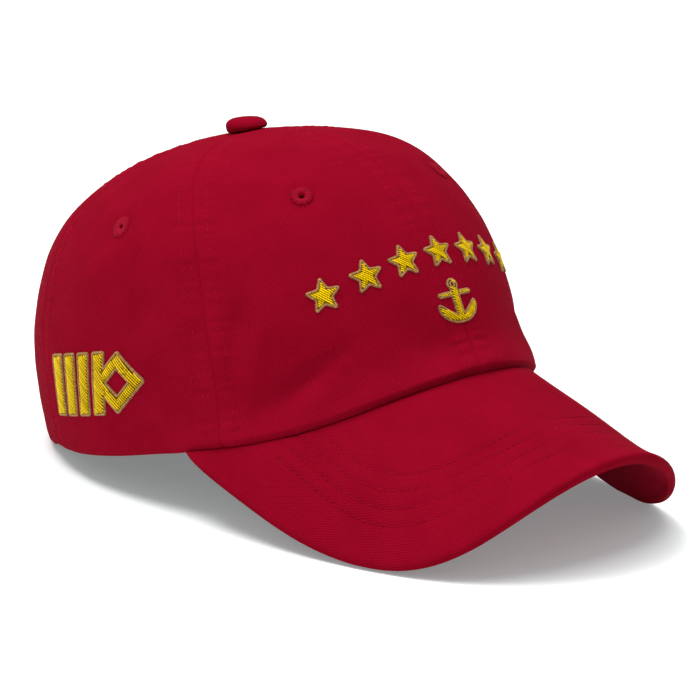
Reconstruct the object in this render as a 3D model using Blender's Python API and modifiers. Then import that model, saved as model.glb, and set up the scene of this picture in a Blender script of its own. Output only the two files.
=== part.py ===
# Captain's cap: a six-panel cotton twill cap with a curved peak, standing on its rim.
# Metres, +Z up, front along -Y, the wearer's right along -X, origin below the middle of its box.

import math

import bmesh
import bpy
import numpy as np
from mathutils import Matrix

MM = 0.001

# Rim: an oval, seen square to the rim's own plane
RIM_HALF_WIDTH = 77.0 * MM
RIM_FRONT_REACH = 102.0 * MM
RIM_BACK_REACH = 104.0 * MM
RIM_ROUNDNESS = 0.97
RIM_RUNOUT = 19.3 * MM
HEM_PRESS = 2.4 * MM
# The back hem sags to the floor: fully at one angle from the front, and not at all at another
HEM_SAG_END = 140.0
HEM_SAG_START = 124.0
HEM_SINK = 0.6 * MM

# Crown: each profile is one curve from the rim to the button
CROWN_HEIGHT = 110.5 * MM
BUTTON_SETBACK = 7.0 * MM
TOP_TILT = 0.10
TOP_HOLE_RADIUS = 3.5 * MM
PANEL_WALL = 1.6 * MM
SEAM_GAP = 0.3 * MM
# bulge: how far the wall leans out at the rim, as a share of the rim's radius
# rise: how high the wall stays steep, as a share of the crown's height
# shoulder: how far out the top starts to turn over, as a share of the rim's radius
PROFILES = {
    "front": {"bulge": -0.100, "rise": 0.360, "shoulder": 0.830},
    "side": {"bulge": 0.027, "rise": 0.475, "shoulder": 1.070},
    "back": {"bulge": 0.130, "rise": 0.590, "shoulder": 0.765},
}
# Seams, in degrees from the front: their angle at the rim and their swing toward the top
SIDE_SEAM = 67.0
SIDE_SEAM_SWING = 14.3
BACK_SEAM = 122.0
BACK_SEAM_SWING = 5.0
PANEL_COLUMNS = 12
PANEL_ROWS = 15
FIRST_ROW = 0.03

# Peak: an arched board covered in the same cloth
PEAK_REACH = 64.0 * MM
PEAK_THICKNESS = 4.2 * MM
PEAK_CORNER = 76.4
PEAK_CORNER_WIDTH = 2.5 * MM
PEAK_CORNER_FLARE = 4.6 * MM
PEAK_CORNER_RUN = 15.0 * MM
PEAK_FRONT_HANDLE = 85.4 * MM
PEAK_ROOT_HEIGHT = 22.5 * MM
PEAK_SLOPE = 0.575
PEAK_FLARE = 9.4 * MM
PEAK_ARCH = 48.6 * MM
PEAK_DROOP = 15.8 * MM
PEAK_DROOP_GROWTH = 0.858
PEAK_CORNER_TAPER = 9.0
PEAK_SEAT_GAP = 0.5 * MM
PEAK_COLUMNS = 32
PEAK_ROWS = 7

# Covered button and embroidered eyelets
BUTTON_RADIUS = 7.7 * MM
BUTTON_HEIGHT = 5.2 * MM
BUTTON_GAP = 0.3 * MM
EYELET_RADIUS = 4.7 * MM
EYELET_HOLE_RADIUS = 1.25 * MM
EYELET_THICKNESS = 1.4 * MM
EYELET_GAP = 0.35 * MM
# Where each eyelet sits: degrees from the front, and its share of the way up the profile
EYELETS = {
    "front": {"angle": 38.0, "share": 0.610},
    "side": {"angle": 94.0, "share": 0.572},
    "back": {"angle": 151.0, "share": 0.560},
}

# Opening, strap and buckle at the back
OPENING_HALF_WIDTH = 36.0 * MM
OPENING_HEIGHT = 45.0 * MM
STRAP_RISE = 5.5 * MM
STRAP_HEIGHT = 18.0 * MM
STRAP_WALL = 1.8 * MM
STRAP_TAIL = 12.0 * MM
STRAP_GAP = 0.4 * MM
STRAP_COLUMNS = 20
BUCKLE_WIDTH = 20.0 * MM
BUCKLE_HEIGHT = 22.0 * MM
BUCKLE_THICKNESS = 1.5 * MM
BUCKLE_RAIL = 3.0 * MM
BUCKLE_GAP = 0.3 * MM
BUCKLE_ANGLE = 166.0

# Embroidery: solids that lie on the panels
MOTIF_THICKNESS = 1.2 * MM
MOTIF_GAP = 0.45 * MM
MOTIF_CUT = 5.0 * MM
STAR_RADIUS = 7.6 * MM
STAR_WAIST = 0.46
STAR_SHARE = 0.372
STAR_ARCH = 0.038
STAR_ANGLES = (-38.5, -25.6, -12.8, 0.0, 12.8, 25.6, 38.5)
ANCHOR_HEIGHT = 16.6 * MM
ANCHOR_SHARE = 0.232
RANK_ANGLE = -100.5
RANK_SHARE = 0.166
# The row of bars rises toward the front, and the bars lean forward with the panel
RANK_TURN = 4.0
RANK_LEAN = 5.0
RANK_HEIGHT = 23.8 * MM
RANK_BAR_WIDTH = 8.3 * MM
RANK_BAR_PITCH = 10.3 * MM
RANK_BARS = 4
RANK_DIAMOND_WIDTH = 29.6 * MM
RANK_DIAMOND_OVERLAP = 7.4 * MM
# The diamond's opening, as a share of its outline
RANK_DIAMOND_OPENING = 0.39


def signed_power(value, power):
    return np.sign(value) * np.abs(value) ** power


def rim_outline(phi):
    """Plan position of the rim at an angle from the front, positive to the wearer's left."""
    reach = np.where(np.cos(phi) > 0, RIM_FRONT_REACH, RIM_BACK_REACH)
    x = RIM_HALF_WIDTH * signed_power(np.sin(phi), RIM_ROUNDNESS)
    y = -reach * signed_power(np.cos(phi), RIM_ROUNDNESS)
    return x, y


def peak_height(x, y):
    """Height of the peak's upper face above the rim's plane."""
    forward = -y - RIM_FRONT_REACH
    run = forward / PEAK_REACH
    across = x / RIM_HALF_WIDTH
    droop = PEAK_DROOP * (1 + PEAK_DROOP_GROWTH * run)
    middle = PEAK_ROOT_HEIGHT - PEAK_SLOPE * forward + PEAK_FLARE * run ** 3
    return middle - PEAK_ARCH * across ** 2 - droop * across ** 4


def peak_normal(x, y):
    """Unit normal of the peak's upper face."""
    step = 0.1 * MM
    slope_x = (peak_height(x + step, y) - peak_height(x - step, y)) / (2 * step)
    slope_y = (peak_height(x, y + step) - peak_height(x, y - step)) / (2 * step)
    normal = np.stack([-slope_x, -slope_y, np.ones_like(slope_x)], axis=-1)
    return normal / np.linalg.norm(normal, axis=-1, keepdims=True)


def smooth_step(value, start, end):
    """0 at the start, 1 at the end and smooth between."""
    share = np.clip((value - start) / (end - start), 0.0, 1.0)
    return share * share * (3 - 2 * share)


def peak_taper(phi):
    """1 along the peak, falling to 0 at its two corners."""
    return smooth_step(np.degrees(np.abs(phi)), PEAK_CORNER, PEAK_CORNER - PEAK_CORNER_TAPER)


def rim_height(phi):
    """Height of the crown's lower line: along the peak, then running out to the flat rim."""
    x, y = rim_outline(phi)
    corner = np.array([math.radians(PEAK_CORNER), math.radians(PEAK_CORNER) - 0.01])
    corner_x, corner_y = rim_outline(corner)
    corner_z = peak_height(corner_x, corner_y)
    slope = (corner_z[0] - corner_z[1]) / (corner_y[0] - corner_y[1])
    run = np.maximum((y - corner_y[0]) / RIM_RUNOUT, 0.0)
    runout = (corner_z[0] + (slope * RIM_RUNOUT + corner_z[0]) * run) * np.exp(-run)
    on_peak = np.abs(phi) <= math.radians(PEAK_CORNER)
    return np.where(on_peak, peak_height(x, y), runout)


def profile(name, phi):
    """A profile value at an angle, blended through its front, side and back rows."""
    front, side, back = (PROFILES[row][name] for row in ("front", "side", "back"))
    mean = (front + back) / 4 + side / 2
    tilt = (front - back) / 2
    pinch = (front + back) / 4 - side / 2
    return mean + tilt * np.cos(phi) + pinch * np.cos(2 * phi)


def crown_point(phi, share):
    """Point of the crown's outer face in the rim's frame, share 0 at the rim and 1 at the button."""
    x, y = rim_outline(phi)
    base = rim_height(phi)
    shoulder = profile("shoulder", phi)
    radius = np.hypot(x, y - BUTTON_SETBACK)
    crest = 1 + TOP_TILT * np.cos(phi) * shoulder * radius / CROWN_HEIGHT
    low = 3 * share * (1 - share) ** 2
    high = 3 * share ** 2 * (1 - share)
    out = (1 - share) ** 3 + low * (1 + profile("bulge", phi)) + high * shoulder
    up = low * profile("rise", phi) + high * crest + share ** 3
    height = base + (CROWN_HEIGHT - base) * up
    return np.stack([x * out, BUTTON_SETBACK + (y - BUTTON_SETBACK) * out, height], axis=-1)


def crown_frame(phi, share):
    """Point, steps along both parameters and outward unit normal of the crown's outer face."""
    step = 0.001
    point = crown_point(phi, share)
    along = (crown_point(phi + step, share) - crown_point(phi - step, share)) / (2 * step)
    up = (crown_point(phi, share + step) - crown_point(phi, share - step)) / (2 * step)
    normal = np.cross(along, up)
    return point, along, up, normal / np.linalg.norm(normal, axis=-1, keepdims=True)


def peak_outline(share):
    """Plan of the peak's outer edge, share 0 at a corner and 1 at the middle of the front."""
    phi = math.radians(PEAK_CORNER)
    x, y = (float(value) for value in rim_outline(phi))
    start = np.array([x + PEAK_CORNER_WIDTH, y])
    reach = -(RIM_FRONT_REACH + PEAK_REACH)
    side = start + np.array([PEAK_CORNER_FLARE, -PEAK_CORNER_RUN])
    front = np.array([PEAK_FRONT_HANDLE, reach])
    tip = np.array([0.0, reach])
    s = np.asarray(share)[..., None]
    curve = (1 - s) ** 3 * start + 3 * s * (1 - s) ** 2 * side
    return curve + 3 * s ** 2 * (1 - s) * front + s ** 3 * tip


def peak_point(across, out):
    """Point of the peak's upper face: across from -1 to 1, out from the crown (0) to the edge (1)."""
    phi = math.radians(PEAK_CORNER) * across
    x, y = rim_outline(phi)
    step = 0.001
    x_next, y_next = rim_outline(phi + step)
    x_last, y_last = rim_outline(phi - step)
    tangent = np.stack([x_next - x_last, y_next - y_last], axis=-1)
    tangent /= np.linalg.norm(tangent, axis=-1, keepdims=True)
    inner_x = x + PEAK_SEAT_GAP * tangent[..., 1]
    inner_y = y - PEAK_SEAT_GAP * tangent[..., 0]
    edge = peak_outline(1 - np.abs(across))
    outer_x = np.sign(across) * edge[..., 0]
    point_x = inner_x + (outer_x - inner_x) * out
    point_y = inner_y + (edge[..., 1] - inner_y) * out
    return np.stack([point_x, point_y, peak_height(point_x, point_y)], axis=-1)


def lean_back(points, lean):
    """Turn points about the X axis so that the front rises."""
    points = np.asarray(points)
    y = points[..., 1] * math.cos(lean) + points[..., 2] * math.sin(lean)
    z = points[..., 2] * math.cos(lean) - points[..., 1] * math.sin(lean)
    return np.stack([points[..., 0], y, z], axis=-1)


def resting_pose():
    """Lean and lift that bring the peak's low edges and the pressed back hem down to the floor."""
    across = np.linspace(-1.0, 1.0, PEAK_COLUMNS + 1)
    edge = peak_point(across, np.ones_like(across))
    taper = peak_taper(math.radians(PEAK_CORNER) * across)
    under = edge - (PEAK_THICKNESS * taper)[:, None] * peak_normal(edge[:, 0], edge[:, 1])
    phi = np.linspace(-math.pi, math.pi, 181)
    hem = crown_point(phi, np.zeros_like(phi))
    low, high = 0.0, math.radians(40.0)
    for _ in range(50):
        lean = (low + high) / 2
        hem_low = lean_back(hem, lean)[:, 2].min() + HEM_PRESS
        if lean_back(under, lean)[:, 2].min() < hem_low:
            low = lean
        else:
            high = lean
    return lean, -hem_low


LEAN, LIFT = resting_pose()


def resting(points):
    """Points of the rim's frame, moved to where the cap stands."""
    return lean_back(points, LEAN) + np.array([0.0, 0.0, LIFT])


def colour(code):
    """Linear colour of an sRGB code such as 9a0c22."""
    channels = [int(code[i:i + 2], 16) / 255 for i in (0, 2, 4)]
    linear = [c / 12.92 if c <= 0.04045 else ((c + 0.055) / 1.055) ** 2.4 for c in channels]
    return (*linear, 1.0)


def material(name, code, roughness, metallic=0.0):
    made = bpy.data.materials.new(name)
    made.use_nodes = True
    shader = made.node_tree.nodes["Principled BSDF"]
    shader.inputs["Base Color"].default_value = colour(code)
    shader.inputs["Roughness"].default_value = roughness
    shader.inputs["Metallic"].default_value = metallic
    return made


def activate(obj):
    bpy.ops.object.select_all(action="DESELECT")
    obj.select_set(True)
    bpy.context.view_layer.objects.active = obj


def place_in(obj, collection, parent=None):
    for other in list(obj.users_collection):
        other.objects.unlink(obj)
    collection.objects.link(obj)
    obj.parent = parent


def add_part(obj, name, surface):
    obj.name = name
    obj.data.name = name
    obj.data.materials.clear()
    obj.data.materials.append(surface)
    place_in(obj, parts, cap)
    return obj


def add_cutter(obj, name):
    obj.name = name
    obj.hide_render = True
    obj.display_type = "WIRE"
    place_in(obj, cutters, cap)
    return obj


def cut(obj, cutter):
    boolean = obj.modifiers.new("cut_" + cutter.name, "BOOLEAN")
    boolean.operation = "DIFFERENCE"
    boolean.solver = "EXACT"
    boolean.object = cutter


def shell(obj, wall):
    """Give an open surface its wall, inward from its outer face."""
    solidify = obj.modifiers.new("wall", "SOLIDIFY")
    solidify.thickness = wall
    solidify.offset = -1.0
    return solidify


def grid_surface(columns, rows, surface):
    """A grid whose points (0 to 1 across, 0 to 1 up) are moved onto a surface."""
    bpy.ops.mesh.primitive_grid_add(x_subdivisions=columns, y_subdivisions=rows, size=1.0)
    obj = bpy.context.object
    flat = np.array([vertex.co for vertex in obj.data.vertices])
    points = resting(surface(flat[:, 0] + 0.5, flat[:, 1] + 0.5))
    obj.data.vertices.foreach_set("co", points.ravel())
    obj.data.update()
    obj.data.shade_smooth()
    return obj


def seam_angle(angle, swing, share):
    return math.radians(angle) + math.radians(swing) * share ** 2


def panel_surface(low_seam, high_seam, side):
    """Surface function of the panel between two seams, on the wearer's left (1) or right (-1)."""

    def surface(across, up):
        row = up * PANEL_ROWS
        top = 1 - TOP_HOLE_RADIUS / (3 * RIM_HALF_WIDTH)
        share = FIRST_ROW + (top - FIRST_ROW) * (row - 1) / (PANEL_ROWS - 1)
        share = np.where(row < 0.5, 0.0, share)
        start = seam_angle(*low_seam, share)
        end = seam_angle(*high_seam, share)
        radius = np.linalg.norm(crown_point((start + end) / 2, share)[:, :2] - [0, BUTTON_SETBACK], axis=1)
        margin = SEAM_GAP / 2 / radius
        # On the right the angles run the other way, so that the faces still point out
        mixed = across if side > 0 else 1 - across
        phi = side * (start + margin + (end - start - 2 * margin) * mixed)
        points = crown_point(phi, share)
        # The lowest row reaches down past the peak's thickness, and sags to the floor at the back
        lowest = row < 0.5
        drop = np.where(lowest, PEAK_THICKNESS * peak_taper(phi), 0.0)
        height = np.maximum(resting(points)[:, 2] + HEM_SINK, 0.0)
        sag = np.where(lowest, height * smooth_step(np.degrees(np.abs(phi)), HEM_SAG_START, HEM_SAG_END), 0.0)
        down = np.array([0.0, math.sin(LEAN), -math.cos(LEAN)])
        return points - drop[:, None] * peak_normal(*rim_outline(phi)) + sag[:, None] * down

    return surface


def crown_tool_matrix(angle, share):
    """Matrix that puts a tool's Z axis along the crown's outward normal at a place."""
    point, along, _, normal = crown_frame(math.radians(angle), share)
    right = along / np.linalg.norm(along)
    up = np.cross(normal, right)
    axes = lean_back(np.stack([right, up, normal]), LEAN)
    matrix = Matrix(axes.T.tolist()).to_4x4()
    matrix.translation = resting(point).tolist()
    return matrix


def settle_on_crown(target, angle, share):
    """Angles and shares of the crown points nearest to targets near a starting place."""
    phi = np.full(len(target), math.radians(angle))
    height = np.full(len(target), share)
    for _ in range(8):
        point, along, up, _ = crown_frame(phi, height)
        miss = target - point
        aa = np.sum(along * along, axis=1)
        ab = np.sum(along * up, axis=1)
        bb = np.sum(up * up, axis=1)
        ma = np.sum(along * miss, axis=1)
        mb = np.sum(up * miss, axis=1)
        scale = aa * bb - ab * ab
        phi = phi + (ma * bb - mb * ab) / scale
        height = height + (mb * aa - ma * ab) / scale
    return phi, height


def motif(name, outlines, angle, share, turn=0.0, lean=0.0):
    """Embroidery as a plate with flat outlines, laid on the crown with its middle at a place."""
    flat = bpy.data.curves.new(name, "CURVE")
    flat.dimensions = "2D"
    flat.fill_mode = "BOTH"
    flat.extrude = MOTIF_THICKNESS / 2
    flat.render_resolution_u = 0
    for outline in outlines:
        spline = flat.splines.new("POLY")
        spline.points.add(len(outline) - 1)
        for point, (u, v) in zip(spline.points, outline):
            point.co = (u, v, 0.0, 1.0)
        spline.use_cyclic_u = True
    drawn = bpy.data.objects.new(name + "_outline", flat)
    parts.objects.link(drawn)
    evaluated = drawn.evaluated_get(bpy.context.evaluated_depsgraph_get())
    mesh = bpy.data.meshes.new_from_object(evaluated)
    bpy.data.objects.remove(drawn)

    # Small faces, so that the plate bends with the crown
    shape = bmesh.new()
    shape.from_mesh(mesh)
    bmesh.ops.remove_doubles(shape, verts=shape.verts, dist=0.01 * MM)
    spread = np.array([vertex.co[:2] for vertex in shape.verts])
    for axis in (0, 1):
        direction = Matrix.Identity(3)[axis]
        first = math.ceil(spread[:, axis].min() / MOTIF_CUT + 0.1)
        last = math.floor(spread[:, axis].max() / MOTIF_CUT - 0.1)
        for step in range(first, last + 1):
            everything = shape.verts[:] + shape.edges[:] + shape.faces[:]
            bmesh.ops.bisect_plane(
                shape, geom=everything, dist=0.01 * MM, plane_co=direction * step * MOTIF_CUT, plane_no=direction
            )
    bmesh.ops.triangulate(shape, faces=shape.faces)
    shape.to_mesh(mesh)
    shape.free()

    point, along, _, normal = crown_frame(math.radians(angle), share)
    right = along / np.linalg.norm(along)
    up = np.cross(normal, right)
    turn, lean = math.radians(turn), math.radians(lean)
    local = np.array([vertex.co for vertex in mesh.vertices])
    u = local[:, 0] * math.cos(turn) + local[:, 1] * math.sin(lean)
    v = local[:, 0] * math.sin(turn) + local[:, 1] * math.cos(lean)
    phi, height = settle_on_crown(point + u[:, None] * right + v[:, None] * up, angle, share)
    seat, _, _, out = crown_frame(phi, height)
    lift = MOTIF_GAP + MOTIF_THICKNESS / 2 + local[:, 2]
    mesh.vertices.foreach_set("co", resting(seat + lift[:, None] * out).ravel())
    mesh.update()
    obj = bpy.data.objects.new(name, mesh)
    parts.objects.link(obj)
    return add_part(obj, name, thread)


def arc(centre, radius, start, end, steps):
    """Points of an arc, in degrees from the right, counter-clockwise."""
    angles = np.radians(np.linspace(start, end, steps))
    return [(centre[0] + radius * math.cos(a), centre[1] + radius * math.sin(a)) for a in angles]


def star_outline(radius, waist):
    points = []
    for corner in range(10):
        reach = radius if corner % 2 == 0 else radius * waist
        angle = math.radians(90 + 36 * corner)
        points.append((reach * math.cos(angle), reach * math.sin(angle)))
    return points


def anchor_outlines(height):
    """An anchor's outline and the hole of its ring, for a height of 1, then scaled."""
    ring_centre = (0.0, 0.355)
    shank = 0.115
    right = [(shank, -0.285), (0.27, -0.19), (0.41, -0.075), (0.525, 0.0), (0.57, -0.13)]
    right += [(0.53, -0.245), (0.44, -0.355), (0.31, -0.44), (0.16, -0.49), (0.0, -0.5)]
    ring = arc(ring_centre, 0.145, -46, 226, 15)
    upper = [(shank, 0.10), (0.47, 0.10), (0.47, 0.215), (0.10, 0.215)]
    half = list(reversed(right)) + upper
    mirrored = [(-u, v) for u, v in reversed(half)]
    outline = half + ring + mirrored[:-1]
    hole = arc(ring_centre, 0.045, 0, 330, 12)
    return [[(u * height, v * height) for u, v in line] for line in (outline, hole)]


# Empty the scene, then make the collections, the parent and the materials
for old in list(bpy.data.objects):
    bpy.data.objects.remove(old)
parts = bpy.data.collections.new("captains_cap")
cutters = bpy.data.collections.new("cutters")
bpy.context.scene.collection.children.link(parts)
bpy.context.scene.collection.children.link(cutters)
cap = bpy.data.objects.new("cap", None)
parts.objects.link(cap)
twill = material("red_cotton_twill", "9a0c22", 0.85)
thread = material("yellow_embroidery_thread", "e0be08", 0.55)
brass = material("brass", "b08d4a", 0.35, 1.0)

# Tools for the cuts: the floor under the pressed hem, and the arch of the back opening
bpy.ops.mesh.primitive_cube_add(size=1.0, location=(0, 0, -50 * MM))
floor = add_cutter(bpy.context.object, "floor")
floor.scale = (400 * MM, 400 * MM, 100 * MM)
rim_back = resting(crown_point(np.array([math.pi]), np.array([0.0])))[0]
bpy.ops.mesh.primitive_cylinder_add(vertices=48, radius=1.0, depth=1.0, rotation=(math.pi / 2, 0, 0))
arch = add_cutter(bpy.context.object, "back_arch")
bpy.ops.object.transform_apply(location=False, rotation=True, scale=False)
arch.location = (0, rim_back[1], 0)
arch.scale = (OPENING_HALF_WIDTH, RIM_BACK_REACH, OPENING_HEIGHT)

# Six panels
middle_front = (0.0, 0.0)
side_seam = (SIDE_SEAM, SIDE_SEAM_SWING)
back_seam = (BACK_SEAM, BACK_SEAM_SWING)
middle_back = (180.0, 0.0)
panel_seams = {"front": (middle_front, side_seam), "side": (side_seam, back_seam), "back": (back_seam, middle_back)}
for place, seams in panel_seams.items():
    for side_name, side in (("right", -1), ("left", 1)):
        obj = grid_surface(PANEL_COLUMNS, PANEL_ROWS, panel_surface(*seams, side))
        panel = add_part(obj, place + "_panel_" + side_name, twill)
        shell(panel, PANEL_WALL)
        spot = EYELETS[place]
        bpy.ops.mesh.primitive_cylinder_add(vertices=12, radius=EYELET_HOLE_RADIUS, depth=4 * PANEL_WALL)
        hole = add_cutter(bpy.context.object, "eyelet_hole_" + place + "_" + side_name)
        hole.matrix_local = crown_tool_matrix(side * spot["angle"], spot["share"])
        cut(panel, hole)
        if place == "back":
            cut(panel, arch)
            cut(panel, floor)

        # The embroidered eyelet round that hole
        minor = (EYELET_RADIUS - EYELET_HOLE_RADIUS) / 2
        bpy.ops.mesh.primitive_torus_add(
            major_segments=16, minor_segments=6, major_radius=EYELET_RADIUS - minor, minor_radius=minor
        )
        eyelet = add_part(bpy.context.object, "eyelet_" + place + "_" + side_name, twill)
        flat = Matrix.Diagonal((1, 1, EYELET_THICKNESS / (2 * minor), 1))
        lift = Matrix.Translation((0, 0, EYELET_GAP + EYELET_THICKNESS / 2))
        eyelet.data.transform(lift @ flat)
        eyelet.data.shade_smooth()
        eyelet.matrix_local = crown_tool_matrix(side * spot["angle"], spot["share"])

# Peak
obj = grid_surface(PEAK_COLUMNS, PEAK_ROWS, lambda across, up: peak_point(2 * across - 1, 1 - up))
peak = add_part(obj, "peak", twill)
board = shell(peak, PEAK_THICKNESS)
group = peak.vertex_groups.new(name="thickness")
for column in range(PEAK_COLUMNS + 1):
    across = 2 * column / PEAK_COLUMNS - 1
    weight = max(0.25, float(peak_taper(math.radians(PEAK_CORNER) * across)))
    for row in range(PEAK_ROWS + 1):
        group.add([row * (PEAK_COLUMNS + 1) + column], weight, "REPLACE")
board.vertex_group = group.name

# Covered button: a turned dome whose axis is square to the crown's top
dome = ((0.0, 1.0), (0.42, 0.95), (0.74, 0.80), (0.94, 0.54), (1.0, 0.30), (0.95, 0.10), (0.84, 0.0), (0.0, 0.0))
line = bmesh.new()
corners = [line.verts.new((r * BUTTON_RADIUS, 0, h * BUTTON_HEIGHT)) for r, h in dome]
for first, second in zip(corners, corners[1:]):
    line.edges.new((first, second))
turned = bpy.data.meshes.new("top_button")
line.to_mesh(turned)
line.free()
button = bpy.data.objects.new("top_button", turned)
parts.objects.link(button)
add_part(button, "top_button", twill)
screw = button.modifiers.new("turn", "SCREW")
screw.steps = 24
screw.render_steps = 24
screw.use_merge_vertices = True
screw.merge_threshold = 0.00005
apex = resting(crown_point(np.array([0.0]), np.array([1.0])))[0]
button_tilt = LEAN + math.atan(TOP_TILT)
button.rotation_euler = (-button_tilt, 0, 0)
button.location = apex + BUTTON_GAP * np.array([0.0, math.sin(button_tilt), math.cos(button_tilt)])

# Strap across the back opening, sewn inside the two back panels
opening_angle = math.asin(OPENING_HALF_WIDTH / RIM_HALF_WIDTH)
strap_angle = opening_angle + STRAP_TAIL / RIM_HALF_WIDTH
inside = PANEL_WALL + STRAP_GAP


def strap_share(phi, height):
    """Share of the crown's profile at a height up the strap."""
    return (STRAP_RISE + height) / (3 * profile("rise", phi) * CROWN_HEIGHT)


def strap_surface(across, up):
    phi = math.pi + strap_angle * (2 * across - 1)
    share = strap_share(phi, up * STRAP_HEIGHT)
    point, _, _, normal = crown_frame(phi, share)
    return point - inside * normal


strap = add_part(grid_surface(STRAP_COLUMNS, 3, strap_surface), "back_strap", twill)
shell(strap, STRAP_WALL)

# Slide buckle on the strap, one plain piece
buckle_share = float(strap_share(math.radians(BUCKLE_ANGLE), STRAP_HEIGHT / 2))
bpy.ops.mesh.primitive_cube_add(size=1.0)
window = add_cutter(bpy.context.object, "buckle_window")
window.data.transform(
    Matrix.Diagonal((BUCKLE_WIDTH - 2 * BUCKLE_RAIL, BUCKLE_HEIGHT - 2 * BUCKLE_RAIL, 4 * BUCKLE_THICKNESS, 1))
)
bpy.ops.mesh.primitive_cube_add(size=1.0)
buckle = add_part(bpy.context.object, "strap_buckle", brass)
lift = Matrix.Translation((0, 0, BUCKLE_GAP + BUCKLE_THICKNESS / 2 - inside))
buckle.data.transform(lift @ Matrix.Diagonal((BUCKLE_WIDTH, BUCKLE_HEIGHT, BUCKLE_THICKNESS, 1)))
for piece in (window, buckle):
    piece.matrix_local = crown_tool_matrix(BUCKLE_ANGLE, buckle_share)
edge = buckle.modifiers.new("corners", "BEVEL")
edge.width = 0.5 * MM
edge.segments = 1
cut(buckle, window)

# Seven stars in an arch over the front, and the anchor under the middle one
for index, angle in enumerate(STAR_ANGLES, start=1):
    share = STAR_SHARE - STAR_ARCH * (angle / STAR_ANGLES[-1]) ** 2
    motif("star_" + str(index), [star_outline(STAR_RADIUS, STAR_WAIST)], angle, share)
motif("anchor", anchor_outlines(ANCHOR_HEIGHT), 0.0, ANCHOR_SHARE)

# Rank insignia on the wearer's right: bars, the last one joined to an open diamond
half_height = RANK_HEIGHT / 2
half_bar = RANK_BAR_WIDTH / 2
rank_width = RANK_BAR_PITCH * (RANK_BARS - 1) + RANK_BAR_WIDTH + RANK_DIAMOND_WIDTH - RANK_DIAMOND_OVERLAP
for index in range(RANK_BARS):
    middle = -rank_width / 2 + half_bar + RANK_BAR_PITCH * index
    left, right = middle - half_bar, middle + half_bar
    bar = [(left, -half_height), (right, -half_height), (right, half_height), (left, half_height)]
    if index < RANK_BARS - 1:
        motif("rank_bar_" + str(index + 1), [bar], RANK_ANGLE, RANK_SHARE, RANK_TURN, RANK_LEAN)
        continue
    half_diamond = RANK_DIAMOND_WIDTH / 2
    centre = right - RANK_DIAMOND_OVERLAP + half_diamond
    meet = half_height * (1 - (half_diamond - RANK_DIAMOND_OVERLAP) / half_diamond)
    outline = bar[:2] + [(right, -meet), (centre, -half_height), (centre + half_diamond, 0), (centre, half_height)]
    outline += [(right, meet)] + bar[2:]
    inner_width = half_diamond * RANK_DIAMOND_OPENING
    inner_height = half_height * RANK_DIAMOND_OPENING
    inner = [(centre - inner_width, 0), (centre, inner_height), (centre + inner_width, 0), (centre, -inner_height)]
    motif("rank_bar_and_diamond", [outline, inner], RANK_ANGLE, RANK_SHARE, RANK_TURN, RANK_LEAN)

# Stand the cap over the origin
bpy.context.view_layer.update()
graph = bpy.context.evaluated_depsgraph_get()
depths = []
for obj in parts.objects:
    if obj.type == "MESH":
        shape = obj.evaluated_get(graph)
        depths += [(shape.matrix_world @ vertex.co).y for vertex in shape.data.vertices]
cap.location.y = -(min(depths) + max(depths)) / 2
bpy.context.view_layer.update()
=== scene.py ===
# Captain's cap of red cotton twill with yellow embroidery: the looks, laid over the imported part.
# Metres, +Z up, the peak toward -Y, the wearer's right toward -X.
import math
import random

import bmesh
import bpy
import numpy as np
from mathutils import Matrix, Vector


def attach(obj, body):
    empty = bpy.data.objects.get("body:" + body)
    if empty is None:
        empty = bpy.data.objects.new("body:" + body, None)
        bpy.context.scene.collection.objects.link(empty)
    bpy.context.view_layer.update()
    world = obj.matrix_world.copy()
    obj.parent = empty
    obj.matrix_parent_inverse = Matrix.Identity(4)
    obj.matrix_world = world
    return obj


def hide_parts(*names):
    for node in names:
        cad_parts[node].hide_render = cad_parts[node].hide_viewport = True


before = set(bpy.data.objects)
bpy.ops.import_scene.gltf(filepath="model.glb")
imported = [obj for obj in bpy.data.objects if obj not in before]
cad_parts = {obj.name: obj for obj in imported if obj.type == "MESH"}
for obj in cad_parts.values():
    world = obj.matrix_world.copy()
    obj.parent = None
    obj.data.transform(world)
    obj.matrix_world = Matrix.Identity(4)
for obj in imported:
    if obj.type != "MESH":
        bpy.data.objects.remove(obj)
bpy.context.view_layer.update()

# Studio: a frosted white table under broad soft lights, seen from the cap's right front and a little
# above. The camera's place, tilt and lens were fitted to the photograph's outlines.
CAMERA_AZIMUTH = -44.47
CAMERA_ELEVATION = 14.78
CAMERA_ROLL = 1.25
CAMERA_DISTANCE = 1.629
CAMERA_LENS_MM = 229.8
CAMERA_SENSOR_MM = 36.0
CAMERA_AIM = (-0.0064, -0.0099, 0.0534)
# Name, place and size in metres, and watts; each one faces the middle of the cap
LIGHTS = (
    ("key_softbox", (-0.4, 0.45, 1.9), 1.0, 19.0),
    ("side_fill", (-1.8, -0.9, 0.6), 1.4, 3.0),
    ("top_softbox", (-0.1, 0.0, 1.9), 1.7, 28.0),
)
LIGHTS_AIM = (0.0, 0.0, 0.05)
ROOM_LIGHT = 0.40
TABLE_WIDTH = 12.0


def linear(code):
    """Linear colour of an sRGB code such as 9a0c22."""
    channels = [int(code[i:i + 2], 16) / 255 for i in (0, 2, 4)]
    return (*[c / 12.92 if c <= 0.04045 else ((c + 0.055) / 1.055) ** 2.4 for c in channels], 1.0)


def new_material(name):
    """A material with its node tree and its Principled shader."""
    made = bpy.data.materials.new(name)
    made.use_nodes = True
    return made, made.node_tree, made.node_tree.nodes["Principled BSDF"]


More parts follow.
